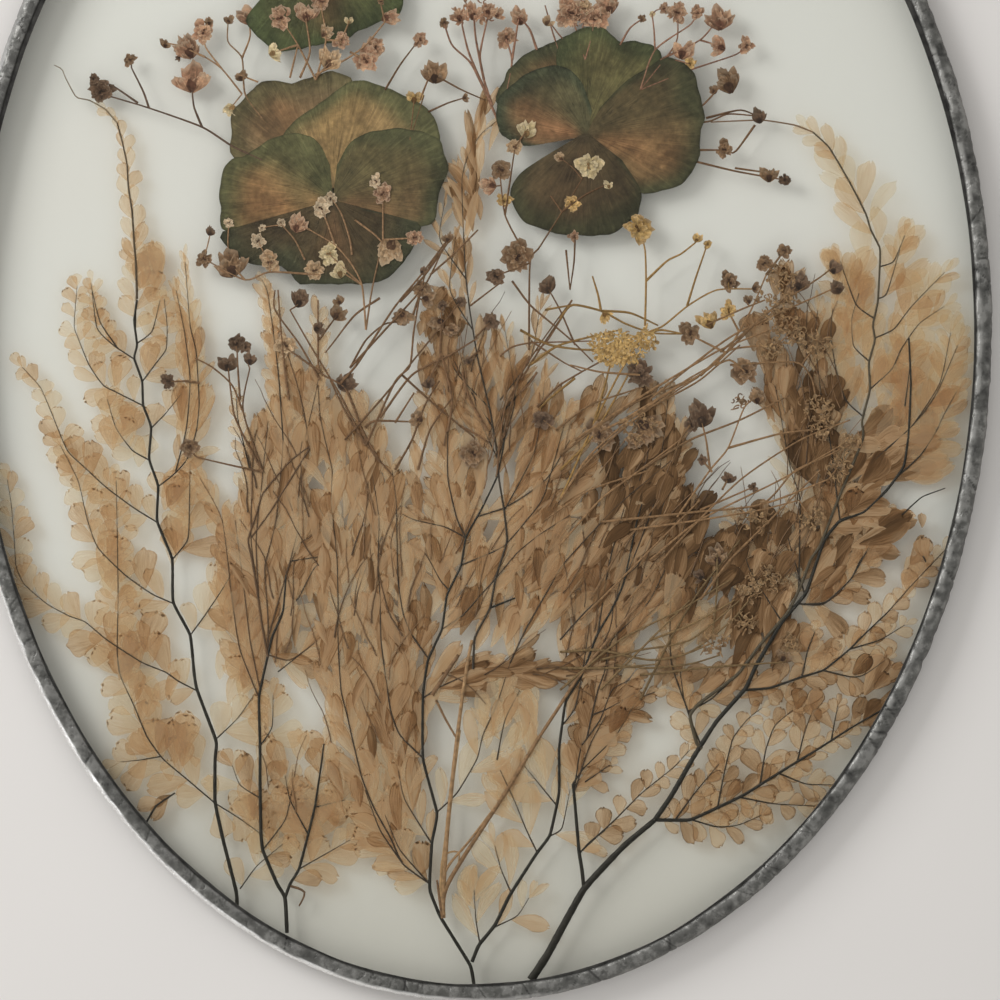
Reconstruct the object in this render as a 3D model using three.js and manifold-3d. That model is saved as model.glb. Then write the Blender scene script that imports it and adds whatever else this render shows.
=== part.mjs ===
// Oval pressed flower frame: two glass panes edged with foil and a solder bead, with dry ferns,
// pansies and small flower sprigs pressed flat between them. It lies on its back, front glass up.
import * as THREE from "three";
import { mergeVertices } from "three/addons/utils/BufferGeometryUtils.js";
import loadManifold from "manifold-3d";

const wasm = await loadManifold();
wasm.setup();

// Driving dimensions, millimetres
const rimWidth = 230;
const rimHeight = 300;
const glassThickness = 1.6;
const pocketDepth = 1.2;
const solderWall = 1.5;
const solderLip = 3.8;
const solderLipHeight = 0.6;
const solderCorner = 1.3;
const foilThickness = 0.2;
const foilLip = 4.8;
const seat = 0.05;
const edgeClearance = 0.1;
const ovalSteps = 36;

// Heights that follow from them
const foilBack = solderLipHeight + seat;
const backGlassFloor = foilBack + foilThickness + seat;
const pocketFloor = backGlassFloor + glassThickness;
const frontGlassFloor = pocketFloor + pocketDepth;
const frontGlassTop = frontGlassFloor + glassThickness;
const foilFront = frontGlassTop + seat + foilThickness;
const rimDepth = foilFront + seat + solderLipHeight;
const foilOutside = solderWall + seat;
const glassEdge = foilOutside + foilThickness + edgeClearance;

// Pressed plants: each lies in one thin layer of the pocket
const layerPitch = 0.09;
const plantThickness = 0.06;
const petalStep = 0.02;
const plantClearance = 0.4;
const plantMargin = glassEdge + plantClearance;
const stalkWidth = 1.2;
const ribWidth = 0.7;
const lobeLength = 40;
const lobeShares = { tipLeft: 0.7, notchLeft: 0.95, tipRight: 0.45, notchRight: 0.7 };
const endShrink = 0.55;
const stemWidth = 0.7;
const strawWidth = 1.5;
const bloomSides = 5;
const budSides = 4;
const budRadius = 2;
const stemSamples = 24;
const flatness = 0.02;
const weldDistance = 1e-4;

// The plants' places were read off a straight-down view of the frame, in pixels of that view
const view = { centreX: 475.2, centreY: 327.6, millimetresPerPixel: 0.2225 };

function onPane(x, y) {
  return new THREE.Vector2(x - view.centreX, view.centreY - y).multiplyScalar(view.millimetresPerPixel);
}

// A path such as "237,905 223,840" as points on the pane
function pathOnPane(path) {
  return path.split(" ").map((pair) => onPane(...pair.split(",").map(Number)));
}

// The oval's outline, moved inwards along its normals
function oval(inset) {
  return Array.from({ length: ovalSteps }, (_, step) => {
    const turn = (2 * Math.PI * step) / ovalSteps;
    const point = new THREE.Vector2((rimWidth / 2) * Math.cos(turn), (rimHeight / 2) * Math.sin(turn));
    const normal = new THREE.Vector2(Math.cos(turn) / rimWidth, Math.sin(turn) / rimHeight).normalize();
    return point.addScaledVector(normal, -inset);
  });
}

function plate(outline, floor, thickness) {
  const geometry = new THREE.ExtrudeGeometry(new THREE.Shape(outline), {
    depth: thickness,
    bevelEnabled: false,
  });
  return geometry.translate(0, 0, floor);
}

// A closed ring whose section, a list of [inset, height], follows the oval
function ovalRing(section) {
  const positions = [];
  const triangles = [];
  const loops = section.map(([inset]) => oval(inset));
  for (let step = 0; step < ovalSteps; step++) {
    section.forEach(([, height], corner) => {
      const point = loops[corner][step];
      positions.push(point.x, point.y, height);
      const here = step * section.length;
      const next = ((step + 1) % ovalSteps) * section.length;
      const other = (corner + 1) % section.length;
      triangles.push(here + corner, next + corner, here + other);
      triangles.push(next + corner, next + other, here + other);
    });
  }
  const geometry = new THREE.BufferGeometry();
  geometry.setAttribute("position", new THREE.Float32BufferAttribute(positions, 3));
  geometry.setIndex(triangles);
  return geometry;
}

function solidOf(geometry) {
  const bare = new THREE.BufferGeometry();
  bare.setAttribute("position", geometry.getAttribute("position"));
  bare.setIndex(geometry.index);
  const merged = mergeVertices(bare, weldDistance);
  return new wasm.Manifold(
    new wasm.Mesh({
      numProp: 3,
      vertProperties: merged.getAttribute("position").array,
      triVerts: new Uint32Array(merged.index.array),
    }),
  );
}

function geometryOf(solid) {
  const mesh = solid.getMesh();
  const geometry = new THREE.BufferGeometry();
  geometry.setAttribute("position", new THREE.BufferAttribute(mesh.vertProperties, 3));
  geometry.setIndex(new THREE.BufferAttribute(mesh.triVerts, 1));
  geometry.computeVertexNormals();
  return geometry;
}

const pocket = solidOf(plate(oval(plantMargin), pocketFloor, pocketDepth));

function joined(plates) {
  const whole = plates.map(solidOf).reduce((sum, solid) => sum.add(solid));
  return geometryOf(whole.intersect(pocket).asOriginal().simplify(flatness));
}

// A flat strip along a line of points, tapering from its first point to its last
function strip(points, startWidth, endWidth) {
  const last = points.length - 1;
  const left = [];
  const right = [];
  points.forEach((point, i) => {
    const ahead = points[Math.min(i + 1, last)].clone().sub(points[Math.max(i - 1, 0)]).normalize();
    const side = new THREE.Vector2(-ahead.y, ahead.x);
    const half = THREE.MathUtils.lerp(startWidth, endWidth, i / last) / 2;
    left.push(point.clone().addScaledVector(side, half));
    right.unshift(point.clone().addScaledVector(side, -half));
  });
  return [...left, ...right];
}

// A leafy branch: a rib with pointed leaf lobes that alternate along its two sides
function leafyBranch(points, reach) {
  const rib = new THREE.SplineCurve(points);
  const lobes = Math.max(1, Math.round(rib.getLength() / lobeLength));
  const beside = (along, out) => {
    const t = THREE.MathUtils.clamp(along, 0, 1);
    const tangent = rib.getTangentAt(t);
    const side = new THREE.Vector2(-tangent.y, tangent.x);
    return rib.getPointAt(t).addScaledVector(side, out);
  };
  const reachAt = (along) => reach * (1 - endShrink * along * along);
  const left = [beside(0, ribWidth / 2)];
  const right = [beside(0, -ribWidth / 2)];
  for (let lobe = 0; lobe < lobes; lobe++) {
    const tipLeft = (lobe + lobeShares.tipLeft) / lobes;
    const tipRight = (lobe + lobeShares.tipRight) / lobes;
    left.push(beside(tipLeft, reachAt(tipLeft)));
    right.unshift(beside(tipRight, -reachAt(tipRight)));
    if (lobe === lobes - 1) break;
    left.push(beside((lobe + lobeShares.notchLeft) / lobes, ribWidth));
    right.unshift(beside((lobe + lobeShares.notchRight) / lobes, -ribWidth));
  }
  return [...left, beside(1, 0), ...right];
}

// A short stalk that narrows to a point under its bloom
function pedicel(foot, place) {
  const ahead = place.clone().sub(foot).normalize();
  const side = new THREE.Vector2(-ahead.y, ahead.x).multiplyScalar(stemWidth / 2);
  return [foot.clone().add(side), foot.clone().sub(side), place];
}

function bloomOutline(centre, radius) {
  const sides = radius < budRadius ? budSides : bloomSides;
  return Array.from({ length: sides }, (_, corner) => {
    const turn = (2 * Math.PI * corner) / sides;
    return new THREE.Vector2(centre.x + radius * Math.cos(turn), centre.y + radius * Math.sin(turn));
  });
}

const colours = {
  glass: { color: 0xd9ded4, roughness: 0.05, metalness: 0, transparent: true, opacity: 0.3 },
  foil: { color: 0x34302a, roughness: 0.5, metalness: 0.7 },
  solder: { color: 0x7d7a73, roughness: 0.4, metalness: 0.9 },
  fern: { color: 0xc0a47c, roughness: 0.8, metalness: 0 },
  straw: { color: 0xa9845a, roughness: 0.75, metalness: 0 },
  petal: { color: 0x5c5138, roughness: 0.85, metalness: 0 },
  bloom: { color: 0x8f7152, roughness: 0.85, metalness: 0 },
  gold: { color: 0xa98a50, roughness: 0.85, metalness: 0 },
};

const frame = new THREE.Group();

function addPiece(name, geometry, colour) {
  const mesh = new THREE.Mesh(geometry, new THREE.MeshStandardMaterial(colours[colour]));
  mesh.name = name;
  frame.add(mesh);
}

// Frame
addPiece("back_glass", plate(oval(glassEdge), backGlassFloor, glassThickness), "glass");
addPiece("front_glass", plate(oval(glassEdge), frontGlassFloor, glassThickness), "glass");
addPiece(
  "foil_edge",
  ovalRing([
    [foilLip, foilBack],
    [foilOutside, foilBack],
    [foilOutside, foilFront],
    [foilLip, foilFront],
    [foilLip, foilFront - foilThickness],
    [foilOutside + foilThickness, foilFront - foilThickness],
    [foilOutside + foilThickness, foilBack + foilThickness],
    [foilLip, foilBack + foilThickness],
  ]),
  "foil",
);
addPiece(
  "solder_rim",
  ovalRing([
    [solderLip, 0],
    [solderCorner, 0],
    [0, solderCorner],
    [0, rimDepth - solderCorner],
    [solderCorner, rimDepth],
    [solderLip - solderLipHeight, rimDepth],
    [solderLip, rimDepth - solderLipHeight],
    [solderWall, rimDepth - solderLipHeight],
    [solderWall, solderLipHeight],
    [solderLip, solderLipHeight],
  ]),
  "solder",
);

// Ferns: a bare stalk, then leafy branches; reach is half a branch's width over its leaves
const ferns = {
  fern_left: {
    layer: 0,
    reach: 6,
    stalk:
      "237,905 236,891 223,840 215,802 216,741 197,690 190,635 173,602 172,559 157,521 158,486 149,459 " +
      "151,427 143,405 142,381 134,358 137,299 134,243 127,165 117,123 105,109 76,97 54,65",
    branches: [
      "134,260 132,212 127,165 117,123",
      "215,802 163,759 134,706 117,650 117,526 116,481",
      "140,718 120,753",
      "197,690 141,662 85,622 47,604 20,570 14,539 9,485",
      "173,602 125,575 98,548 78,481 60,445",
      "157,521 107,488 67,450 51,412 22,367",
      "149,459 116,428 103,395",
      "143,406 103,385 78,338 77,286",
      "134,358 103,336 91,283",
      "136,300 105,270",
      "219,804 254,829 261,838",
      "216,741 237,719 252,697",
      "190,635 205,615 223,588 237,563",
      "172,559 187,541 190,463",
      "158,486 187,459 199,403 196,352 185,262",
      "151,427 181,394",
      "142,381 166,349 164,280",
      "137,343 152,290 160,246",
    ],
  },
  fern_left_inner: {
    layer: 1,
    reach: 5,
    stalk: "287,933 285,898 277,884 263,851 260,788 259,697 268,655 283,611 286,575",
    branches: [
      "240,889 257,866 285,841",
      "262,800 240,785 232,765",
      "262,745 273,722 273,695",
      "259,700 240,650 232,600 222,520 200,478",
      "283,611 305,597 322,560",
      "285,898 299,869 308,835 321,766 324,744",
      "299,869 350,840",
      "315,806 345,800",
      "308,835 290,800 285,775",
    ],
  },
  fern_mid_left: {
    layer: 2,
    reach: 5,
    stalk: "268,657 257,590 250,540 262,500 290,461 310,446",
    branches: [
      "268,657 266,590 276,520 283,440 278,370 268,295",
      "257,590 238,520 240,450 250,420",
      "275,637 286,575 298,500 305,440 318,380 318,320",
      "310,446 300,395 285,345",
      "268,655 290,660 317,641",
    ],
  },
  fern_centre_left: {
    layer: 3,
    reach: 5,
    stalk:
      "474,985 470,965 441,918 430,891 432,842 437,813 423,759 423,695 428,660 442,629 461,566 466,537 " +
      "497,477 504,443 502,414 537,372",
    branches: [
      "430,885 390,837 361,775 341,690 338,600 334,530 332,470 320,400",
      "423,757 391,712 381,640 378,560 374,485 360,440",
      "427,657 403,613 397,540 392,460",
      "437,813 477,759 497,704 526,629 562,566 615,508 673,459",
      "442,629 479,597 517,553 570,515",
      "461,565 504,546 544,495 566,419",
      "481,515 526,495 556,462 575,430",
      "466,537 448,479 448,432 454,392",
      "454,590 425,553",
      "425,697 462,677 487,667",
      "432,842 405,800 398,770",
    ],
  },
  fern_centre_right: {
    layer: 2,
    reach: 5,
    stalk: "472,962 479,945 510,895 550,835 559,793 559,750 566,701 597,635 624,582 637,521 642,504",
    branches: [
      "513,890 495,846",
      "477,944 470,900",
      "536,851 515,802 500,770",
      "553,806 521,762",
      "492,927 529,898",
      "550,835 570,790",
      "561,735 582,675 590,620",
      "582,735 605,670 650,600 690,515",
      "597,635 640,562 665,500 680,440",
      "624,582 655,500 668,400",
    ],
  },
  fern_centre_tall: {
    layer: 4,
    reach: 4,
    stalk: "473,669 475,637 490,608 507,541 504,510 498,459 490,410 478,360 470,312",
    branches: [
      "470,312 466,279 462,179 481,134 506,114",
      "466,279 440,240 445,200",
      "490,608 515,598",
      "498,459 515,400 505,330",
      "490,410 455,370 440,320",
      "504,510 535,450 545,380",
    ],
  },
  fern_right: {
    layer: 0,
    reach: 5,
    stalk:
      "531,980 548,954 584,889 624,846 655,820 695,755 746,688 782,622 806,593 824,541 840,521 887,490 " +
      "904,466 911,383 909,338",
    branches: [
      "582,887 579,851 573,784 588,717 597,683",
      "582,851 642,793 690,750",
      "573,784 615,737 655,692",
      "585,782 612,765",
      "655,822 690,820 744,795 820,748 882,710",
      "674,817 695,793 719,764",
      "717,806 733,739 762,708",
      "759,782 775,726 793,710",
      "797,762 811,715",
      "831,739 835,710",
      "779,775 833,785",
      "741,800 815,806",
      "692,822 739,825 762,815",
      "746,691 802,677 849,650 887,613 947,548",
      "802,677 815,632",
      "824,672 864,675 887,659",
      "845,652 880,640",
      "794,608 851,579 873,545",
      "782,622 750,570 735,520",
      "806,593 780,530 770,450",
      "887,490 918,454 949,403",
      "904,466 930,410 951,332",
      "887,490 930,515",
    ],
  },
  fern_right_tall: {
    layer: 1,
    reach: 5.5,
    stalk:
      "697,744 690,716 737,675 788,612 811,559 820,546 863,439 862,421 870,390 869,363 875,340 878,301 " +
      "880,248 855,192 829,147 795,125 762,120 710,122",
    branches: [
      "880,248 855,192 813,132",
      "876,338 912,306 945,272",
      "872,389 902,348 945,306",
      "867,361 852,319 859,280 838,245",
      "860,416 836,369 833,308",
      "880,290 900,250 905,220",
      "838,500 905,420 940,380 958,345",
      "800,588 790,480 779,405 765,370",
      "820,546 826,440 815,340",
      "690,716 671,660 672,580 690,520",
    ],
  },
};

function leafyPlates(plant, floor) {
  const branches = plant.branches.map((path) => leafyBranch(pathOnPane(path), plant.reach));
  const stalk = strip(pathOnPane(plant.stalk), stalkWidth, ribWidth);
  return [stalk, ...branches].map((outline) => plate(outline, floor, plantThickness));
}

function layerFloor(layer) {
  return pocketFloor + seat + layer * layerPitch;
}

for (const [name, fern] of Object.entries(ferns)) {
  addPiece(name, joined(leafyPlates(fern, layerFloor(fern.layer))), "fern");
}

// Loose bits of fern, and the straw stems tied at the bottom
const looseFern = {
  fern_twig: { layer: 1, reach: 3, stalk: "150,820 175,793", branches: ["152,816 164,800 172,789"] },
  fern_leaf: { layer: 2, reach: 2.2, stalk: "926,562 921,550", branches: ["926,562 915,535"] },
};
for (const [name, fern] of Object.entries(looseFern)) {
  addPiece(name, joined(leafyPlates(fern, layerFloor(fern.layer))), "fern");
}
const strawStems = {
  layer: 5,
  paths: [
    "442,922 447,833 457,739 466,672 472,640",
    "442,922 463,858 504,795 557,710 600,648 650,590",
    "436,700 459,654",
    "436,700 457,739",
  ],
};
addPiece(
  "straw_stems",
  joined(
    strawStems.paths.map((path) =>
      plate(strip(pathOnPane(path), strawWidth, stemWidth), layerFloor(strawStems.layer), plantThickness),
    ),
  ),
  "straw",
);

// Pansies: five petals each, every next one a step higher over the last
const pansies = {
  pansy_left: [
    "333,190 290,150 233,158 231,116 251,91 266,81 293,82 331,71 350,88 345,150",
    "333,190 310,140 320,103 353,81 382,86 407,96 427,110 442,138 430,150 380,160",
    "333,198 325,165 300,135 233,158 223,171 219,193 223,214 224,226 260,225 300,215",
    "333,198 335,165 350,140 380,130 430,138 445,153 447,173 435,222 421,227 390,230 350,215",
    "333,200 300,215 224,222 220,236 230,251 251,264 283,267 298,283 356,284 382,281 406,259 421,227 " +
      "380,215",
  ],
  pansy_right: [
    "586,130 540,120 496,103 503,83 513,65 530,51 566,36 590,60 595,100",
    "586,130 570,80 566,36 586,27 601,27 613,35 652,46 660,70 640,100 610,120",
    "588,136 540,100 515,95 496,103 498,128 506,138 525,146 555,142",
    "586,134 620,100 650,70 667,56 686,65 701,99 705,116 700,154 681,184 661,191 639,193 610,165",
    "586,132 550,150 520,174 511,189 511,202 521,219 563,235 593,236 629,222 639,211 639,193 625,165",
  ],
  pansy_top: [
    "325,-46 270,-75 262,-110 285,-135 315,-140 330,-110",
    "325,-46 322,-110 340,-138 370,-135 392,-110 380,-75",
    "325,-40 270,-15 240,-20 228,-45 235,-75 260,-90 295,-80",
    "325,-40 370,-25 405,-15 420,-45 412,-75 385,-92 350,-85",
    "325,-50 275,-10 246,23 263,43 291,51 319,45 346,40 377,23 397,15 404,0 390,-20 355,-35",
  ],
};
const pansyLayer = 6;
for (const [name, petals] of Object.entries(pansies)) {
  const plates = petals.map((path, petal) =>
    plate(pathOnPane(path), layerFloor(pansyLayer), plantThickness + petal * petalStep),
  );
  addPiece(name, joined(plates), "petal");
}

// Flower sprigs: stems, then blooms as "x,y,radius", each joined to the nearest stem
const sprigs = {
  sprig_upper_left: {
    layer: 5,
    stems: [
      "262,160 202,127 149,108 106,95",
      "202,127 194,107 191,84",
      "149,108 131,62",
      "140,105 98,80",
    ],
    blooms: "101,91,10 190,78,11",
  },
  sprig_top_left: {
    layer: 4,
    stems: [
      "262,118 242,92 242,58 228,42 229,20",
      "242,58 250,16",
      "242,92 222,69 200,50 166,43",
      "258,82 240,75",
    ],
    blooms: "187,46,11 204,32,9 249,14,10 240,75,6",
  },
  sprig_top: {
    layer: 8,
    stems: [
      "316,80 298,45 285,25",
      "316,80 326,40 321,5",
      "316,80 350,52 390,16",
      "298,45 276,52",
      "350,52 366,60",
    ],
    blooms: "280,19,12 306,11,10 321,2,8 327,32,7 342,41,9 277,52,8 333,59,11 366,60,12 376,48,9 390,16,9",
  },
  sprig_mid_top: {
    layer: 5,
    stems: [
      "410,140 430,112 466,97",
      "410,140 395,75 420,40",
      "410,140 424,95 435,72",
      "410,140 414,96",
    ],
    blooms: "420,40,7 435,72,11 414,96,7",
  },
  sprig_right_top: {
    layer: 5,
    stems: [
      "640,90 655,50 697,13",
      "640,90 670,62 676,14",
      "670,62 700,38 719,18",
      "640,90 690,69 746,46",
      "700,38 717,45",
      "655,50 652,14",
      "640,90 620,28 642,18",
    ],
    blooms: "674,12,9 697,13,7 719,18,11 683,48,10 717,45,9 746,46,9 690,64,7",
  },
  sprig_right: {
    layer: 4,
    stems: [
      "660,122 706,122 757,116",
      "757,116 735,152 724,150",
      "660,122 698,167 735,171 785,180",
      "680,121 705,105 726,80",
    ],
    blooms: "757,116,8 724,150,9 770,173,9 785,180,6 726,80,13",
  },
  umbel_top: {
    layer: 3,
    stems: [
      "500,125 482,85 466,55 444,23",
      "482,85 484,40 486,12",
      "466,55 468,14",
      "500,125 510,60 519,16",
    ],
    blooms: "458,14,9 474,11,10 490,9,10 519,16,9 508,38,10",
  },
  sprig_crown: {
    layer: 4,
    stems: ["585,60 570,13", "585,60 595,17 608,4", "585,60 548,20"],
    blooms: "570,13,14 595,17,13 608,4,9 548,20,6",
  },
  sprig_on_pansy: {
    layer: 9,
    stems: [
      "366,330 362,285 340,245 300,232 262,228",
      "362,285 352,235 329,202",
      "362,285 383,240 383,188",
      "340,245 305,262 245,278 204,259",
      "383,240 415,238",
      "340,245 321,208",
    ],
    blooms:
      "204,259,9 230,263,13 270,262,11 211,231,6 258,241,8 297,223,9 321,208,8 331,199,6 329,254,10 " +
      "315,271,10 339,270,8 376,181,7 383,194,9 389,252,13 415,238,9",
  },
  sprig_between: {
    layer: 8,
    stems: [
      "529,350 530,263 539,248 562,212 584,172",
      "530,263 505,205 500,175",
      "530,263 496,276",
      "562,212 575,235",
      "575,345 546,285",
      "529,350 575,345",
      "584,172 608,184",
      "584,172 528,129",
    ],
    blooms: "589,166,11 572,203,8 528,129,9 515,147,8 500,170,11 504,201,7 517,257,13 496,276,9 546,285,9",
  },
  sprig_dark: {
    layer: 5,
    stems: [
      "263,472 234,414 228,365",
      "263,472 243,410 250,362",
      "263,472 194,455",
      "234,414 212,367 170,382",
    ],
    blooms: "237,344,9 228,362,9 250,358,8 190,447,9 168,381,8",
  },
  sprig_centre_left: {
    layer: 7,
    stems: [
      "380,462 362,430 345,388 320,372 319,305",
      "345,388 365,340 402,322",
      "320,372 275,312 275,290",
      "320,372 285,347",
      "319,340 338,314",
      "322,358 350,318 380,297",
    ],
    blooms: "301,299,9 338,312,9 322,330,7 286,346,12 347,382,10 402,320,9",
  },
  sprig_centre: {
    layer: 10,
    stems: [
      "366,445 410,370 413,315 440,265 447,240",
      "366,445 412,376 440,358 475,338",
      "366,445 418,422",
      "413,315 421,290",
      "440,358 428,382",
      "475,338 490,322",
      "440,358 442,306",
    ],
    blooms: "447,237,7 421,290,8 442,306,6 428,382,7 490,322,9 418,421,8",
  },
  umbel_gold: {
    layer: 9,
    stems: [
      "560,500 593,426 643,336 717,290 757,289",
      "643,336 646,281 640,232",
      "646,281 681,254 697,240",
      "687,306 696,277 708,244",
      "593,426 605,385 615,345",
      "570,305 601,311 643,336",
    ],
    blooms: "638,228,13 698,238,6 708,244,6 729,282,11 600,350,12 618,340,13 632,352,11 645,338,13",
  },
  sprig_bundle: {
    layer: 10,
    stems: [
      "600,432 669,392 726,353 766,275",
      "726,353 767,313 833,267",
      "700,372 739,332 837,287",
      "766,275 784,251",
      "726,353 690,335",
      "739,332 728,311",
      "726,353 800,362 816,400",
    ],
    blooms:
      "764,264,9 784,251,8 833,267,8 837,287,8 798,281,10 728,311,10 706,319,11 690,333,10 " +
      "775,300,14 790,325,15 815,345,13 770,345,12 745,372,13 816,405,15",
  },
  sprig_long: {
    layer: 11,
    stems: [
      "620,522 695,512 762,504 793,472 858,441",
      "677,514 728,448 757,396",
      "728,448 779,434 820,429",
      "700,510 753,487",
      "710,470 701,414",
      "710,470 702,460",
      "762,504 829,479",
    ],
    blooms:
      "701,414,13 690,424,8 702,460,6 729,477,6 753,487,6 757,396,10 822,426,14 858,441,10 " +
      "838,470,13 755,519,12 811,517,13",
  },
  sprig_low: {
    layer: 7,
    stems: [
      "560,652 650,660 690,652 745,605 766,579",
      "640,675 700,668 785,662",
      "650,660 700,668",
      "690,652 715,642",
    ],
    blooms: "766,579,15 748,590,11 715,642,12 742,620,11 717,555,10 785,655,9",
  },
};

function nearestOnStems(stems, place) {
  const candidates = stems.flatMap((stem) => new THREE.Path(stem).getSpacedPoints(stemSamples));
  return candidates.reduce((best, point) =>
    point.distanceTo(place) < best.distanceTo(place) ? point : best,
  );
}

function sprigPlates(sprig, floor) {
  const stems = sprig.stems.map(pathOnPane);
  const outlines = stems.map((stem) => strip(stem, stemWidth, stemWidth));
  sprig.blooms.split(" ").forEach((bloom) => {
    const [x, y, radius] = bloom.split(",").map(Number);
    const place = onPane(x, y);
    const foot = nearestOnStems(stems, place);
    const bloomRadius = radius * view.millimetresPerPixel;
    if (foot.distanceTo(place) > bloomRadius / 2) outlines.push(pedicel(foot, place));
    outlines.push(bloomOutline(place, bloomRadius));
  });
  return outlines.map((outline) => plate(outline, floor, plantThickness));
}

for (const [name, sprig] of Object.entries(sprigs)) {
  const colour = name === "umbel_gold" ? "gold" : "bloom";
  addPiece(name, joined(sprigPlates(sprig, layerFloor(sprig.layer))), colour);
}

export default frame;
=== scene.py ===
import math
import random

import bpy
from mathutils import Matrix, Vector, noise


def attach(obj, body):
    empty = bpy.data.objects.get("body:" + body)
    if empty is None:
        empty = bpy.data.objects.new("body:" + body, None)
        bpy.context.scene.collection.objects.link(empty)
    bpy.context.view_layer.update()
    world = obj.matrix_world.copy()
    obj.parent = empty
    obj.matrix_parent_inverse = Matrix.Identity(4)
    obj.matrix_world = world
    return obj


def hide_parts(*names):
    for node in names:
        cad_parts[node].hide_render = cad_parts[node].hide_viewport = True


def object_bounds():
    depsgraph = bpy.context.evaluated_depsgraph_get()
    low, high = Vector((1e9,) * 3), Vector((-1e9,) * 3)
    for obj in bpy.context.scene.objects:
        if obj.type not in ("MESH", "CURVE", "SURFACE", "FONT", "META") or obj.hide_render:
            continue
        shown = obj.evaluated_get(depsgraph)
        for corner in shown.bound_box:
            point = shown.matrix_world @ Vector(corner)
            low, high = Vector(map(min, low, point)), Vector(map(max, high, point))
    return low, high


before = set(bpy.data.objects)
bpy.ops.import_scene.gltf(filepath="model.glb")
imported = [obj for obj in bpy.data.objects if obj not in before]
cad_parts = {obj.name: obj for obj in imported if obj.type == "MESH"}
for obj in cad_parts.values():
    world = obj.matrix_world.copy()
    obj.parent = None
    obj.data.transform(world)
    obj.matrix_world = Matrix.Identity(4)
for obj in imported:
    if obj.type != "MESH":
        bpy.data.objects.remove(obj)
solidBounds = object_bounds()
random.seed(41)
print("solids loaded:", len(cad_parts))

# the plants are placed in pixels of a straight-down sheet view, which this turns into metres
sheet = {"centreX": 475.2, "centreY": 327.6, "pixel": 0.0002225}
pixel = sheet["pixel"]
rim = {"halfWidth": round(solidBounds[1][0], 4), "halfHeight": round(solidBounds[1][1], 4)}
# the gap between the panes: what stands above the squeeze is flattened towards the ceiling
pocket = {"floor": 0.00252, "ceiling": 0.00368, "squeeze": 0.00335, "margin": 0.0027,
          "firstLayer": 0.00258, "layerStep": 0.00008}


def onPane(x, y):
    return Vector((x - sheet["centreX"], sheet["centreY"] - y)) * pixel


def readPath(text):
    return [onPane(*map(float, pair.split(","))) for pair in text.split()]


def layerHeight(layer):
    return pocket["firstLayer"] + layer * pocket["layerStep"]


def ink(red, green, blue):  # a colour as the eye reads it, 0 to 255, made linear
    return tuple(((v / 255 + 0.055) / 1.055) ** 2.4 if v > 10 else v / 3295 for v in (red, green, blue))


def blendInk(a, b, share):
    return tuple(p + (q - p) * share for p, q in zip(a, b))


def clamp(value, low=0.0, high=1.0):
    return min(max(value, low), high)


def spread(limit):
    return random.uniform(-limit, limit)


def anyTurn():
    return random.uniform(0, 6.28)  # radians, about once round


def ease(low, high, value):
    t = clamp((value - low) / (high - low))
    return t * t * (3 - 2 * t)


# a line through given points, in even steps; slack says how round its bends are
def smoothLine(points, step, slack=0.5):
    if len(points) < 3:
        points = [points[0], (points[0] + points[-1]) / 2, points[-1]]
    ends = [2 * points[0] - points[1], *points, 2 * points[-1] - points[-2]]
    fine, parts = [], 8
    for i in range(1, len(ends) - 2):
        a, b, c, d = ends[i - 1:i + 3]
        for k in range(parts):
            t = k / parts
            fine.append(b * (1 - 3 * t * t + 2 * t ** 3) + c * (3 * t * t - 2 * t ** 3)
                        + (c - a) * slack * (t - 2 * t * t + t ** 3) + (d - b) * slack * (t ** 3 - t * t))
    fine.append(points[-1])
    line, travelled, wanted = [fine[0]], 0.0, step
    for a, b in zip(fine, fine[1:]):
        length = (b - a).length
        while length > 0 and travelled + length >= wanted:
            line.append(a + (b - a) * ((wanted - travelled) / length))
            wanted += step
        travelled += length
    if (line[-1] - fine[-1]).length > step * 0.3:
        line.append(fine[-1])
    return line


def headings(line):
    last = len(line) - 1
    return [(line[min(i + 1, last)] - line[max(i - 1, 0)]).normalized() for i in range(last + 1)]


# a heap gathers one piece: vertices, faces, which finish a face has, and two notes for the finishes
def newHeap():
    return {"verts": [], "faces": [], "finish": [], "spot": [], "ink": []}


def addVert(heap, x, y, z, spot, colour):
    heap["verts"].append((x, y, z))
    heap["spot"].append(spot)
    heap["ink"].append((*colour, 1.0)[:4])
    return len(heap["verts"]) - 1


def addPressed(heap, x, y, z, spot, colour):  # kept inside the pocket between the panes
    reach = math.hypot(x / (rim["halfWidth"] - pocket["margin"]), y / (rim["halfHeight"] - pocket["margin"]))
    if reach > 1:
        x, y = x / reach, y / reach
    over, room = z - pocket["squeeze"], pocket["ceiling"] - pocket["squeeze"]
    if over > 0:  # flattened under the front pane, with no two petals in one plane
        z = pocket["squeeze"] + room * (1 - math.exp(-over / room))
    return addVert(heap, x, y, max(z, pocket["floor"]), spot, colour)


def addGrid(heap, rows, finish):
    for a, b in zip(rows, rows[1:]):
        for i in range(len(a) - 1):
            heap["faces"].append((a[i], a[i + 1], b[i + 1], b[i]))
            heap["finish"].append(finish)


tubeLook = {"swell": 0.12, "swellScale": 900}


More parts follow.
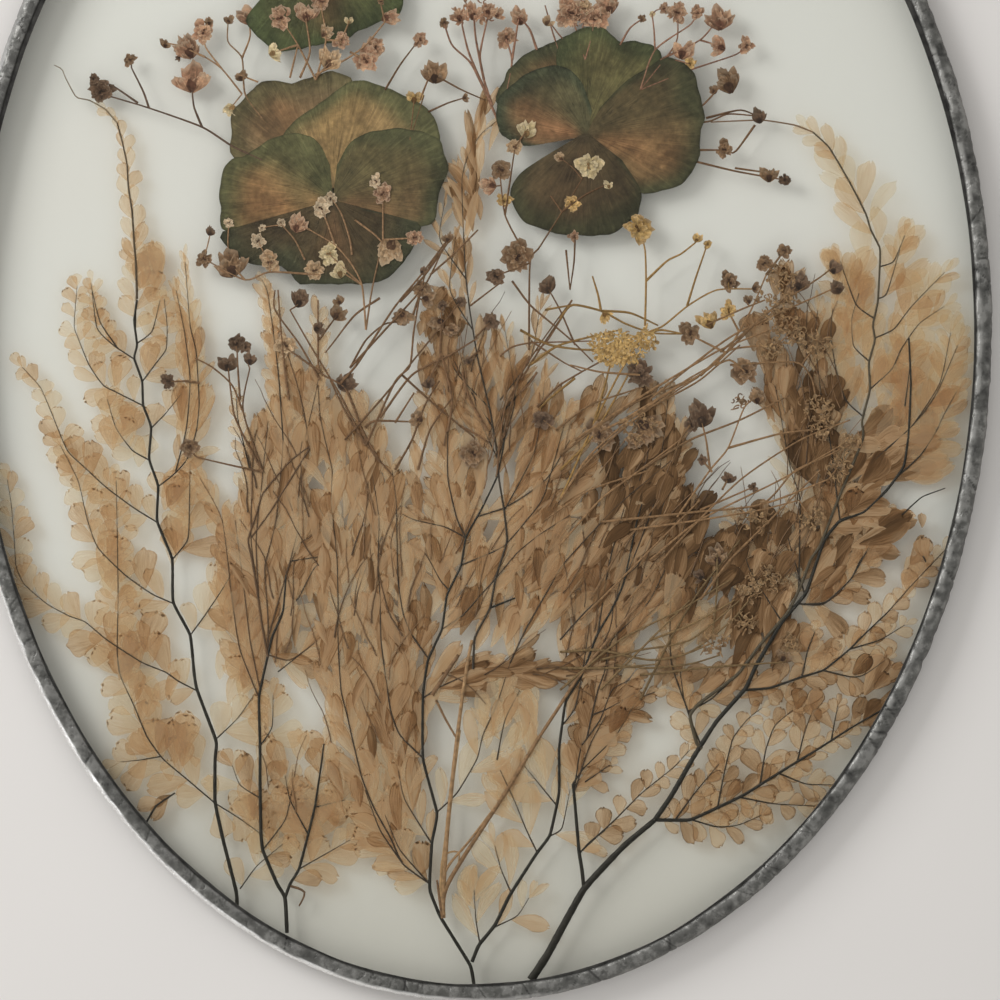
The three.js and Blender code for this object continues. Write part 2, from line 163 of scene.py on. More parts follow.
# a stem or rib that swells and thins a little on its way
def addTube(heap, line, startRadius, endRadius, height, colour, finish=0, sides=6, endHeight=None):
    last = len(line) - 1
    endHeight = height if endHeight is None else endHeight
    rings = []
    for i, (point, ahead) in enumerate(zip(line, headings(line))):
        share = i / last
        radius = startRadius + (endRadius - startRadius) * share
        swell = noise.noise(Vector((point.x, point.y, 0.3)) * tubeLook["swellScale"])
        radius *= 1 + tubeLook["swell"] * swell
        z = height + (endHeight - height) * share
        ring = []
        for k in range(sides + 1):
            turn = 2 * math.pi * k / sides
            out = math.cos(turn) * radius
            ring.append(addPressed(heap, point.x - ahead.y * out, point.y + ahead.x * out,
                                   z + math.sin(turn) * radius, (k / sides, share, 0.0), colour))
        rings.append(ring)
    addGrid(heap, rings, finish)
    for ring in (rings[0], rings[-1]):
        heap["faces"].append(tuple(ring[:-1]))
        heap["finish"].append(finish)


def makePiece(heap, name, nodes, slot, finishes):
    mesh = bpy.data.meshes.new(name)
    mesh.from_pydata(heap["verts"], [], heap["faces"])
    for finish in finishes:
        mesh.materials.append(finish)
    mesh.polygons.foreach_set("material_index", heap["finish"])
    mesh.polygons.foreach_set("use_smooth", [True] * len(heap["faces"]))
    spots = mesh.attributes.new("spot", "FLOAT_VECTOR", "POINT")
    spots.data.foreach_set("vector", [v for spot in heap["spot"] for v in spot])
    inks = mesh.attributes.new("ink", "FLOAT_COLOR", "POINT")
    inks.data.foreach_set("color", [v for colour in heap["ink"] for v in colour])
    mesh.update()
    piece = bpy.data.objects.new(name, mesh)
    bpy.context.scene.collection.objects.link(piece)
    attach(piece, "root")
    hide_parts(*nodes)
    return piece


# node helpers: a plain number or colour sets the socket, anything else is linked to it
def feed(tree, socket, value):
    if isinstance(value, bpy.types.NodeSocket):
        tree.links.new(value, socket)
    else:
        socket.default_value = value


def newFinish(name):
    finish = bpy.data.materials.new(name)
    finish.use_nodes = True
    tree = finish.node_tree
    tree.nodes.clear()
    return finish, tree, tree.nodes.new("ShaderNodeOutputMaterial")


def calc(tree, operation, a, b=0.0):
    n = tree.nodes.new("ShaderNodeMath")
    n.operation = operation
    feed(tree, n.inputs[0], a)
    feed(tree, n.inputs[1], b)
    return n.outputs[0]


def times(tree, a, b):
    return calc(tree, "MULTIPLY", a, b)


def plus(tree, a, b):
    return calc(tree, "ADD", a, b)


def remap(tree, value, fromLow, fromHigh, toLow=0.0, toHigh=1.0):
    n = tree.nodes.new("ShaderNodeMapRange")
    n.interpolation_type = "SMOOTHSTEP"
    for socket, v in zip(n.inputs, (value, fromLow, fromHigh, toLow, toHigh)):
        feed(tree, socket, v)
    return n.outputs[0]


def mixInk(tree, share, a, b, how="MIX"):
    n = tree.nodes.new("ShaderNodeMix")
    n.data_type = "RGBA"
    n.blend_type = how
    feed(tree, n.inputs[0], share)
    feed(tree, n.inputs[6], a if not isinstance(a, tuple) else (*a, 1.0))
    feed(tree, n.inputs[7], b if not isinstance(b, tuple) else (*b, 1.0))
    return n.outputs[2]


def ramp(tree, value, stops):
    n = tree.nodes.new("ShaderNodeValToRGB")
    marks = n.color_ramp.elements
    while len(marks) < len(stops):
        marks.new(0.5)
    for mark, (place, colour) in zip(marks, stops):
        mark.position = place
        mark.color = (*colour, 1.0)
    feed(tree, n.inputs[0], value)
    return n.outputs[0]


def speckle(tree, vector, scale, detail=3.0, roughness=0.6):
    n = tree.nodes.new("ShaderNodeTexNoise")
    feed(tree, n.inputs["Vector"], vector)
    n.inputs["Scale"].default_value = scale
    n.inputs["Detail"].default_value = detail
    n.inputs["Roughness"].default_value = roughness
    return n.outputs[0]


def note(tree, name):
    n = tree.nodes.new("ShaderNodeAttribute")
    n.attribute_name = name
    return n


def split(tree, vector):
    n = tree.nodes.new("ShaderNodeSeparateXYZ")
    tree.links.new(vector, n.inputs[0])
    return n.outputs


def join(tree, x, y, z):
    n = tree.nodes.new("ShaderNodeCombineXYZ")
    for socket, v in zip(n.inputs, (x, y, z)):
        feed(tree, socket, v)
    return n.outputs[0]


def objectSpot(tree):
    return tree.nodes.new("ShaderNodeTexCoord").outputs["Object"]


def roughen(tree, height, strength, distance):
    n = tree.nodes.new("ShaderNodeBump")
    n.inputs["Strength"].default_value = strength
    n.inputs["Distance"].default_value = distance
    tree.links.new(height, n.inputs["Height"])
    return n.outputs[0]


def coat(tree, **values):
    n = tree.nodes.new("ShaderNodeBsdfPrincipled")
    for name, value in values.items():
        feed(tree, n.inputs[name.replace("_", " ")], value if not isinstance(value, tuple) else (*value, 1.0))
    return n.outputs[0]


# glass panes: smooth ovals in the place of the faceted ones
paneLook = {"back": (0.0009, 0.0025), "front": (0.0037, 0.0053), "edge": 0.00195, "bevel": 0.0003,
            "steps": 160, "ior": 1.33, "tint": (0.982, 1.0, 0.972), "film": (0.986, 0.997, 0.966),
            "footShade": (0.9, 0.907, 0.864), "footShadeFrom": -0.045, "footShadeTo": -0.135}


def ovalSpot(turn, inset):
    across, up = math.cos(turn), math.sin(turn)
    out = Vector((across / rim["halfWidth"], up / rim["halfHeight"])).normalized()
    return Vector((rim["halfWidth"] * across, rim["halfHeight"] * up)) - out * inset


def glassFinish():
    finish, tree, out = newFinish("clearGlass")
    film = remap(tree, speckle(tree, objectSpot(tree), 18.0, 1.0), 0.35, 0.75)
    tint = mixInk(tree, film, paneLook["tint"], paneLook["film"])
    low = remap(tree, split(tree, objectSpot(tree))[1], paneLook["footShadeFrom"], paneLook["footShadeTo"])
    tint = mixInk(tree, low, tint, paneLook["footShade"])  # painted shade: darker towards the foot
    glass = coat(tree, Base_Color=tint, Roughness=0.0, IOR=paneLook["ior"], Transmission_Weight=1.0)
    tree.links.new(glass, out.inputs["Surface"])
    return finish


clearGlass = glassFinish()
for side in ("back", "front"):
    heap = newHeap()
    low, high = paneLook[side]
    bevel = paneLook["bevel"]
    loops = []
    for inset, z in ((bevel, low), (0, low + bevel), (0, high - bevel), (bevel, high)):
        loop = []
        for i in range(paneLook["steps"]):
            spot = ovalSpot(2 * math.pi * i / paneLook["steps"], paneLook["edge"] + inset)
            loop.append(addVert(heap, spot.x, spot.y, z, (0, 0, 0), (1, 1, 1)))
        loops.append(loop)
    addGrid(heap, [[*loop, loop[0]] for loop in loops], 0)
    heap["faces"] += [tuple(reversed(loops[0])), tuple(loops[-1])]
    heap["finish"] += [0, 0]
    pane = makePiece(heap, side + "Pane", [side + "_glass"], "glass", [clearGlass])
    pane.data.polygons.foreach_set("use_smooth", [False] * len(pane.data.polygons))
    pane.visible_shadow = False  # clear glass hardly shades what is pressed in it
    pane.visible_diffuse = False
print("panes made")

# solder bead and foil: rings with a hand-worked surface
# a section goes round as (inset from the oval, height) in millimetres
millimetres = 1000  # in a metre
beadLook = {
    "steps": 2200,
    "section": [(3.8, 5.5), (3.7, 5.78), (3.4, 6.02), (3.05, 6.13), (2.7, 6.18), (2.35, 6.2), (2.0, 6.19),
                (1.65, 6.12), (1.3, 5.98), (0.95, 5.76), (0.65, 5.46), (0.4, 5.08), (0.18, 4.5), (0.04, 3.8),
                (0.0, 3.1), (0.05, 2.3), (0.22, 1.55), (0.6, 0.85), (1.1, 0.35), (1.6, 0.08), (2.0, 0.0),
                (2.6, 0.0), (3.0, 0.12), (3.1, 0.55), (1.6, 0.6), (1.6, 5.55)],
    "lump": 0.1, "lumpScale": 170, "pit": 0.1, "pitScale": 520, "hollow": 0.3, "hollowScale": 330,
    "waver": 0.25, "waverScale": 14, "roughTurn": 0.4, "glintTurn": 3.75, "meanRadius": 132,
    "notches": 85, "notchDepth": (0.05, 0.24), "notchWidth": (0.1, 0.22), "notchSkew": 0.9,
    "notchReach": 0.03,
}
foilLook = {
    "steps": 400,
    "section": [(4.2, 5.54), (4.1, 5.55), (3.3, 5.55), (1.62, 5.53), (1.58, 5.2), (1.58, 1.0), (1.62, 0.68),
                (2.8, 0.66), (3.3, 0.68), (3.3, 0.85), (2.8, 0.85), (1.8, 0.88), (1.8, 5.32), (3.3, 5.34),
                (4.2, 5.35)],
    "waver": 0.2, "waverScale": 9, "upperMargin": 1.0, "lipFrom": 4.0,
}


def ringPiece(look, lumpsAt, name, node, slot, finish):
    heap = newHeap()
    section = look["section"]
    rings = []
    for i in range(look["steps"]):
        turn = 2 * math.pi * i / look["steps"]
        ring = []
        for j, ((inset, height), (lump, sway, paint)) in enumerate(zip(section, lumpsAt(turn, section))):
            before, after = section[j - 1], section[(j + 1) % len(section)]
            slopeIn, slopeUp = after[0] - before[0], after[1] - before[1]
            size = math.hypot(slopeIn, slopeUp) or 1.0
            inset += lump * slopeUp / size + sway
            height = max(height - lump * slopeIn / size, 0.0)
            spot = ovalSpot(turn, inset / millimetres)
            ring.append(addVert(heap, spot.x, spot.y, height / millimetres, (0.0, 0.0, lump), paint))
        rings.append([*ring, ring[0]])
    addGrid(heap, [*rings, rings[0]], 0)
    return makePiece(heap, name, [node], slot, [finish])


notches = [(random.uniform(0, 2 * math.pi), random.uniform(*beadLook["notchDepth"]),
            random.uniform(*beadLook["notchWidth"]), spread(beadLook["notchSkew"]))
           for _ in range(beadLook["notches"])]


def awayFrom(turn, place):  # the shorter way round, in radians
    return (turn - place + math.pi) % (2 * math.pi) - math.pi


def wavering(look, turn, layer):
    return look["waver"] * noise.noise(Vector((math.cos(turn), math.sin(turn), layer)) * look["waverScale"])


# for each point of the bead's section: its lump, how far its lip wavers, and its paint, which says
# how dark (dark cracks, with painted shade along the edges), how chipped (chips that also serve as painted
# highlight) and how much painted glint it has
def beadLumps(turn, section):
    near = [(awayFrom(turn, place), *rest) for place, *rest in notches]
    near = [notch for notch in near if abs(notch[0]) < beadLook["notchReach"]]
    rightSide = ease(-0.2, 0.8, math.cos(turn - beadLook["roughTurn"]))  # worked more roughly on the right
    glintSide = ease(0.35, 0.8, math.cos(turn - beadLook["glintTurn"]))  # painted glint at the lower left
    sway = wavering(beadLook, turn, 0.5)
    for inset, height in section:
        where = Vector((*ovalSpot(turn, inset / millimetres), height / millimetres))
        lump = beadLook["lump"] * noise.noise(where * beadLook["lumpScale"])
        lump += beadLook["pit"] * noise.noise(where * beadLook["pitScale"])
        hollows = noise.noise(where * beadLook["hollowScale"] + Vector((9, 4, 2)))
        lump = (0.8 + 1.1 * rightSide) * (lump + beadLook["hollow"] * min(hollows + 0.25, 0.0))
        crack = 0.0
        for away, depth, width, skew in near:
            dent = math.exp(-((away * beadLook["meanRadius"] - skew * (inset - 2)) / width) ** 2)
            lump -= depth * dent
            crack = max(crack, dent * (0.3 + 2.4 * depth))
        paintedGlint = chipSheen = 0.0
        if height > 3.5:  # on the front
            # painted glint: a bright, glossy strip down the outer flank at the lower left
            paintedGlint = glintSide * (1 - ease(0.75, 1.15, inset + 0.35 * noise.noise(where * 240)))
            # lighter chips along the inner side of the right part, partly real chips and partly painted
            # highlight on the side that faces the light
            chipSheen = rightSide * ease(2.1, 3.0, inset) * ease(-0.2, 0.25, noise.noise(where * 380))
        # painted shade: a dark line down the outer flank, left off where the glint is painted, and another
        # where the bead meets the glass; the cracks are dark of themselves
        outerEdgeShade = 0.6 * (1 - ease(0.0, 0.6, inset)) * (1 - glintSide)
        paint = (max(0.75 * crack, 0.7 * ease(3.35, 3.8, inset), outerEdgeShade), chipSheen, paintedGlint)
        restsOnFloor = height < 0.7 and inset > 1.2
        meetsFoil = inset == 1.6 and height > 5
        if restsOnFloor or meetsFoil:
            yield 0.0, 0.0, paint
        else:
            yield lump * (0.4 if height < 2.2 else 1.0), sway if inset > 2.6 else 0.0, paint


def foilLumps(turn, section):
    lip = wavering(foilLook, turn, 3.1)
    lip += foilLook["upperMargin"] * ease(-0.1, 0.9, math.sin(turn))  # more tape shows round the upper half
    for inset, _ in section:
        yield 0.0, lip if inset > foilLook["lipFrom"] else 0.0, (0, 0, 0)


solderLook = {
    "shades": [(0.15, (0.02, 0.02, 0.018)), (0.36, (0.068, 0.067, 0.061)), (0.6, (0.12, 0.119, 0.11)),
               (0.84, (0.25, 0.247, 0.233))],
    "chipSheen": (0.4, 0.395, 0.375), "dark": (0.018, 0.017, 0.015), "paintedGlint": (0.9, 0.9, 0.89),
    "patchScale": 100.0, "coarseScale": 420.0, "pitScale": 620.0, "fineScale": 1300.0,
}


def solderFinish():
    finish, tree, out = newFinish("pewterSolder")
    lump = split(tree, note(tree, "spot").outputs["Vector"])[2]
    dark, chipSheen, paintedGlint = split(tree, note(tree, "ink").outputs["Vector"])
    where = objectSpot(tree)
    coarse = speckle(tree, where, solderLook["coarseScale"], 4.0, 0.65)
    fine = speckle(tree, where, solderLook["fineScale"], 3.0, 0.7)
    patch = speckle(tree, where, solderLook["patchScale"], 2.0)
    pits = remap(tree, speckle(tree, where, solderLook["pitScale"], 2.0), 0.58, 0.68)
    shade = plus(tree, remap(tree, lump, -0.24, 0.16), remap(tree, coarse, 0.3, 0.7, 0.0, 0.75))
    shade = times(tree, plus(tree, shade, times(tree, patch, 0.4)), 0.55)
    colour = ramp(tree, shade, solderLook["shades"])
    # chips, partly painted highlight
    colour = mixInk(tree, times(tree, chipSheen, 0.8), colour, solderLook["chipSheen"])
    # dark cracks and pits, with painted shade along the bead's edges
    dark = calc(tree, "MAXIMUM", dark, times(tree, pits, 0.4))
    colour = mixInk(tree, dark, colour, solderLook["dark"])
    # painted glint: bright, smooth and metallic where the glint is painted
    colour = mixInk(tree, paintedGlint, colour, solderLook["paintedGlint"])
    rough = remap(tree, fine, 0.3, 0.7, 0.32, 0.54)
    rough = calc(tree, "SUBTRACT", rough, times(tree, paintedGlint, 0.12))
    metal = calc(tree, "MAXIMUM", remap(tree, shade, 0.4, 0.8, 0.25, 0.7), paintedGlint)
    relief = plus(tree, coarse, times(tree, fine, 0.35))
    relief = calc(tree, "SUBTRACT", relief, times(tree, pits, 0.3))
    tree.links.new(coat(tree, Base_Color=colour, Metallic=metal, Roughness=rough,
                        Normal=roughen(tree, relief, 0.55, 0.0006)), out.inputs["Surface"])
    return finish


def foilFinish():
    finish, tree, out = newFinish("darkFoil")
    grain = speckle(tree, objectSpot(tree), 420.0, 4.0)
    colour = ramp(tree, grain, [(0.3, (0.022, 0.021, 0.02)), (0.7, (0.07, 0.068, 0.062))])
    rough = remap(tree, grain, 0.3, 0.7, 0.35, 0.6)
    tree.links.new(coat(tree, Base_Color=colour, Metallic=0.6, Roughness=rough,
                        Normal=roughen(tree, grain, 0.3, 0.0003)), out.inputs["Surface"])
    return finish


ringPiece(foilLook, foilLumps, "foilTape", "foil_edge", "foil", foilFinish())
ringPiece(beadLook, beadLumps, "solderBead", "solder_rim", "solder", solderFinish())
print("rim made")


# dry leaf: light passes through it tinted, so leaves that lie over one another turn browner
leafLook = {
    "passed": [(0.0, (0.965, 0.925, 0.845)), (0.3, (0.905, 0.8, 0.668)), (0.6, (0.75, 0.585, 0.42)),
               (1.0, (0.38, 0.25, 0.15))],
    "surface": [(0.0, (0.78, 0.64, 0.445)), (0.2, (0.725, 0.535, 0.335)), (0.38, (0.635, 0.425, 0.245)),
                (0.55, (0.36, 0.212, 0.108)), (0.75, (0.175, 0.096, 0.045)), (1.0, (0.075, 0.043, 0.022))],
    "streaks": 0.6, "margin": 0.4,
}


# its notes: across, along and tone in the spot; seed, row of spore dots, dark edge and body in the ink
def leafFinish():
    finish, tree, out = newFinish("dryLeaf")
    across, along, tone = split(tree, note(tree, "spot").outputs["Vector"])
    inks = note(tree, "ink")
    seed, seeds, edge = split(tree, inks.outputs["Vector"])
    side = calc(tree, "ABSOLUTE", across)
    where = join(tree, times(tree, across, 3.6), times(tree, along, 0.9), times(tree, seed, 60.0))
    streaks = speckle(tree, where, 2.2, 2.0)
    margin = calc(tree, "MAXIMUM", remap(tree, along, 0.9, 1.0), remap(tree, side, 0.82, 1.0))
    band = times(tree, remap(tree, along, 0.9, 0.925), remap(tree, along, 0.985, 0.96))
    breaks = calc(tree, "SINE", plus(tree, times(tree, across, 8.0), times(tree, seed, 70.0)))
    dash = times(tree, times(tree, band, remap(tree, breaks, 0.1, 0.5)), seeds)
    depth = plus(tree, tone, times(tree, calc(tree, "SUBTRACT", streaks, 0.5), leafLook["streaks"]))
    depth = plus(tree, depth, times(tree, times(tree, margin, edge), leafLook["margin"]))
    depth = plus(tree, depth, dash)
    cover = plus(tree, inks.outputs["Alpha"], times(tree, calc(tree, "SUBTRACT", depth, 0.4), 0.3))
    seeThrough = tree.nodes.new("ShaderNodeBsdfTransparent")
    tree.links.new(ramp(tree, depth, leafLook["passed"]), seeThrough.inputs["Color"])
    colour = ramp(tree, depth, leafLook["surface"])
    body = coat(tree, Base_Color=colour, Roughness=0.8, Specular_IOR_Level=0.0)
    blend = tree.nodes.new("ShaderNodeMixShader")
    tree.links.new(cover, blend.inputs[0])
    tree.links.new(seeThrough.outputs[0], blend.inputs[1])
    tree.links.new(body, blend.inputs[2])
    tree.links.new(blend.outputs[0], out.inputs["Surface"])
    return finish


def stalkFinish():
    finish, tree, out = newFinish("wiryStalk")
    colour = note(tree, "ink").outputs["Color"]
    grain = speckle(tree, objectSpot(tree), 900.0, 3.0)
    shaded = mixInk(tree, remap(tree, grain, 0.3, 0.7, 0.0, 0.45), colour, (0.045, 0.04, 0.032))
    wire = coat(tree, Base_Color=shaded, Roughness=0.6, Specular_IOR_Level=0.2)
    tree.links.new(wire, out.inputs["Surface"])
    return finish


dryLeaf, wiryStalk = leafFinish(), stalkFinish()


# a leaf kind, in sheet pixels: length, width, step along the branch and lean off it in degrees; then its
# spore dots, dark edge, how full its foot is, where it is widest and how blunt its end is
def leafKind(length, width, step, lean, seeds=0.0, edge=0.2, foot=0.7, swell=0.6, blunt=2.2, **own):
    return {"length": length, "width": width, "step": step, "lean": lean, "seeds": seeds, "edge": edge,
            "foot": foot, "swell": swell, "blunt": blunt, **own}


leafKinds = {
    "fan": leafKind(37, 24, 10.5, 46, seeds=0.6, swell=0.66, blunt=2.8),
    "broad": leafKind(40, 29, 12, 42, seeds=0.3, edge=0.1, swell=0.64, blunt=2.6),
    "small": leafKind(23, 12, 6.5, 34, seeds=0.2, edge=0.1, swell=0.58),
    "pair": leafKind(45, 22, 13, 27, rib=ink(112, 92, 66)),
    "coin": leafKind(26, 16, 9, 44, seeds=0.1, edge=1.1, foot=0.6, blunt=2.4),
    "long": leafKind(48, 21, 11, 34, edge=-0.25, swell=0.62, blunt=2.4),
    "tongue": leafKind(46, 15.5, 8.5, 24, seeds=0.15, edge=0.5, rib=ink(88, 66, 47)),
    "blade": leafKind(44, 11, 8, 20, edge=0.4, foot=0.8, swell=0.5, blunt=1.8),
    "slim": leafKind(48, 11, 14, 20, foot=0.8, swell=0.5, blunt=1.8),
    "pale": leafKind(46, 18, 15, 38, edge=0.3, foot=0.8, swell=0.56, blunt=2.0, tone=0.13, body=0.42),
}
leafHabit = {
    "rows": (0.02, 0.2, 0.4, 0.58, 0.72, 0.84, 0.93, 0.98, 1.0), "columns": (-1, -0.5, 0, 0.5, 1),
    "length": (0.8, 1.15), "width": (0.75, 1.15), "toneSpread": 0.13, "toneShift": (-0.18, 0.2),
    "darkest": 0.95, "rise": 0.00007, "bend": 0.25, "tilt": 0.03, "curl": (-0.00006, 0.00012),
    "dotted": 0.5, "foldShade": 0.6, "lobes": (1.5, 2, 3), "lobeDepth": 0.05, "waver": 0.3,
}
lifts = {"rib": 0.00008, "stalk": 0.00012}  # how far ribs and stalks stand above their leaves


# one leaf: wedge-shaped at its foot, rounded or blunt at its end, a little bent and uneven
def addLeaf(heap, foot, turn, size, height, tone, body, name):
    if name == "rib":
        return addRib(heap, foot, turn, height)
    kind = leafKinds[name]
    length = kind["length"] * pixel * size * random.uniform(*leafHabit["length"])
    width = kind["width"] * pixel * size * random.uniform(*leafHabit["width"])
    shift = clamp(random.gauss(0, leafHabit["toneSpread"]), *leafHabit["toneShift"])
    tone = clamp(tone + shift, 0.0, leafHabit["darkest"])
    height += spread(leafHabit["rise"])
    seed, lobes = random.random(), random.choice(leafHabit["lobes"])
    bend, tilt = spread(leafHabit["bend"]), spread(leafHabit["tilt"])
    curl = random.uniform(*leafHabit["curl"])
    dots = kind["seeds"] if random.random() < leafHabit["dotted"] else 0.0
    foldShade = (seed * 7.31 % 1 - 0.5) * leafHabit["foldShade"] * body  # painted shade: one half darker than the other, as if folded
    rows = []
    for along in leafHabit["rows"]:
        if along < kind["swell"]:
            half = (along / kind["swell"]) ** kind["foot"]
        else:
            half = max(1 - ((along - kind["swell"]) / (1 - kind["swell"])) ** kind["blunt"], 0.06) ** 0.5
        way = turn + bend * along
        c, s = math.cos(way), math.sin(way)
        row = []
        for across in leafHabit["columns"]:
            waver = 1 + leafHabit["waver"] * noise.noise(Vector((along * 2.2, seed * 60, across * 0.8)))
            out = half * width / 2 * across * waver
            lobe = 1 - math.cos(lobes * math.pi * across + seed * 6)
            far = length * along * (1 - leafHabit["lobeDepth"] * along ** 4 * lobe)
            z = height + tilt * out + curl * along * (1 - across * across)
            shade = tone + foldShade * clamp(2 * across, -1, 1)
            row.append(addPressed(heap, foot.x + c * far - s * out, foot.y + s * far + c * out, z,
                                  (across, along, shade), (seed, dots, kind["edge"], body)))
        rows.append(row)
    addGrid(heap, rows, 0)


# a stray rib, seen where leaves lie thick
strayRib = {"steps": (4, 8), "step": 11, "swing": 0.12, "radius": (0.55, 0.95), "tip": 0.3, "sides": 5,
            "dark": ink(84, 62, 44), "light": ink(140, 106, 74)}


def addRib(heap, foot, turn, height):
    line = [foot]
    for _ in range(random.randint(*strayRib["steps"])):
        line.append(line[-1] + Vector((math.cos(turn), math.sin(turn))) * strayRib["step"] * pixel)
        turn += random.gauss(0, strayRib["swing"])
    radius = random.uniform(*strayRib["radius"]) * pixel
    colour = blendInk(strayRib["dark"], strayRib["light"], random.random())
    addTube(heap, line, radius, strayRib["tip"] * pixel, height + lifts["stalk"], colour, 1,
            strayRib["sides"])


# a branch: a thin dark rib with leaves to its left and right in turn, smaller towards its tip
branchLook = {"pointStep": 2, "slack": 0.3, "thin": 0.35, "sides": 5, "rib": ink(50, 42, 33), "start": 0.4,
              "lean": (0.75, 1.25), "leanLoss": 0.35, "sizeLoss": 0.52, "footSize": 0.75, "footShare": 0.15,
              "toneLoss": 0.25, "gap": (0.8, 1.2), "endSize": 0.45, "endTone": 0.7}


def addBranch(heap, line, name, height, tone, body, ribRadius, size, ribInk):
    kind = leafKinds[name]
    tone, body = kind.get("tone", tone), kind.get("body", body)
    ways = headings(line)
    addTube(heap, line, ribRadius, ribRadius * branchLook["thin"], height + lifts["rib"],
            ribInk or kind.get("rib", branchLook["rib"]), 1, branchLook["sides"])
    side, place, last = random.choice((-1, 1)), kind["step"] * branchLook["start"], len(line) - 1
    while place < branchLook["pointStep"] * last:
        i = int(place / branchLook["pointStep"])
        share = i / last
        turn = math.atan2(ways[i].y, ways[i].x)
        lean = math.radians(kind["lean"] * random.uniform(*branchLook["lean"]))
        lean = lean * (1 - branchLook["leanLoss"] * share) * side
        fromFoot = ease(0, branchLook["footShare"], share)
        grown = size * (1 - branchLook["sizeLoss"] * share ** 1.5)
        grown *= branchLook["footSize"] + (1 - branchLook["footSize"]) * fromFoot
        faded = tone * (1 - branchLook["toneLoss"] * share)
        addLeaf(heap, line[i], turn + lean, grown, height, faded, body, name)
        place += kind["step"] * (0.4 + 0.6 * grown) * random.uniform(*branchLook["gap"])
        side = -side
    turn = math.atan2(ways[-1].y, ways[-1].x)
    grown, faded = size * branchLook["endSize"], tone * branchLook["endTone"]
    addLeaf(heap, line[-1], turn, grown, height, faded, body, name)


# a drift: many leaves over one another in an oval patch, all pointing about one way
driftLook = {"turnSpread": 12, "size": (0.75, 1.15), "rise": (-0.00012, 0.00018)}


def addDrift(heap, patch, name, height, tone, body):
    x, y, spanX, spanY, count, lean = patch
    for _ in range(count):
        away, turn = math.sqrt(random.random()), random.uniform(0, 2 * math.pi)
        foot = onPane(x + spanX * away * math.cos(turn), y + spanY * away * math.sin(turn))
        way = math.radians(lean + random.gauss(0, driftLook["turnSpread"]))
        size, rise = random.uniform(*driftLook["size"]), random.uniform(*driftLook["rise"])
        addLeaf(heap, foot, way, size, height + rise, tone, body, name)


# dry tissue of sprigs and straw, coloured by the ink note
def flowerFinish(name, grainScale, rough):
    finish, tree, out = newFinish(name)
    spot = split(tree, note(tree, "spot").outputs["Vector"])
    grain = speckle(tree, objectSpot(tree), grainScale, 4.0, 0.65)
    dim = remap(tree, grain, 0.25, 0.75, 0.55, 1.3)
    lit = mixInk(tree, 1.0, note(tree, "ink").outputs["Color"], join(tree, dim, dim, dim), "MULTIPLY")
    pale = times(tree, remap(tree, spot[1], 0.72, 1.0), spot[2])  # paler towards the petal rims
    rimmed = mixInk(tree, pale, lit, (0.62, 0.5, 0.36))
    tree.links.new(coat(tree, Base_Color=rimmed, Roughness=rough, Specular_IOR_Level=0.2,
                        Normal=roughen(tree, grain, 0.25, 0.00015)), out.inputs["Surface"])
    return finish


dryFlower = flowerFinish("dryFlower", 1500.0, 0.85)
dryStraw = flowerFinish("dryStraw", 900.0, 0.7)


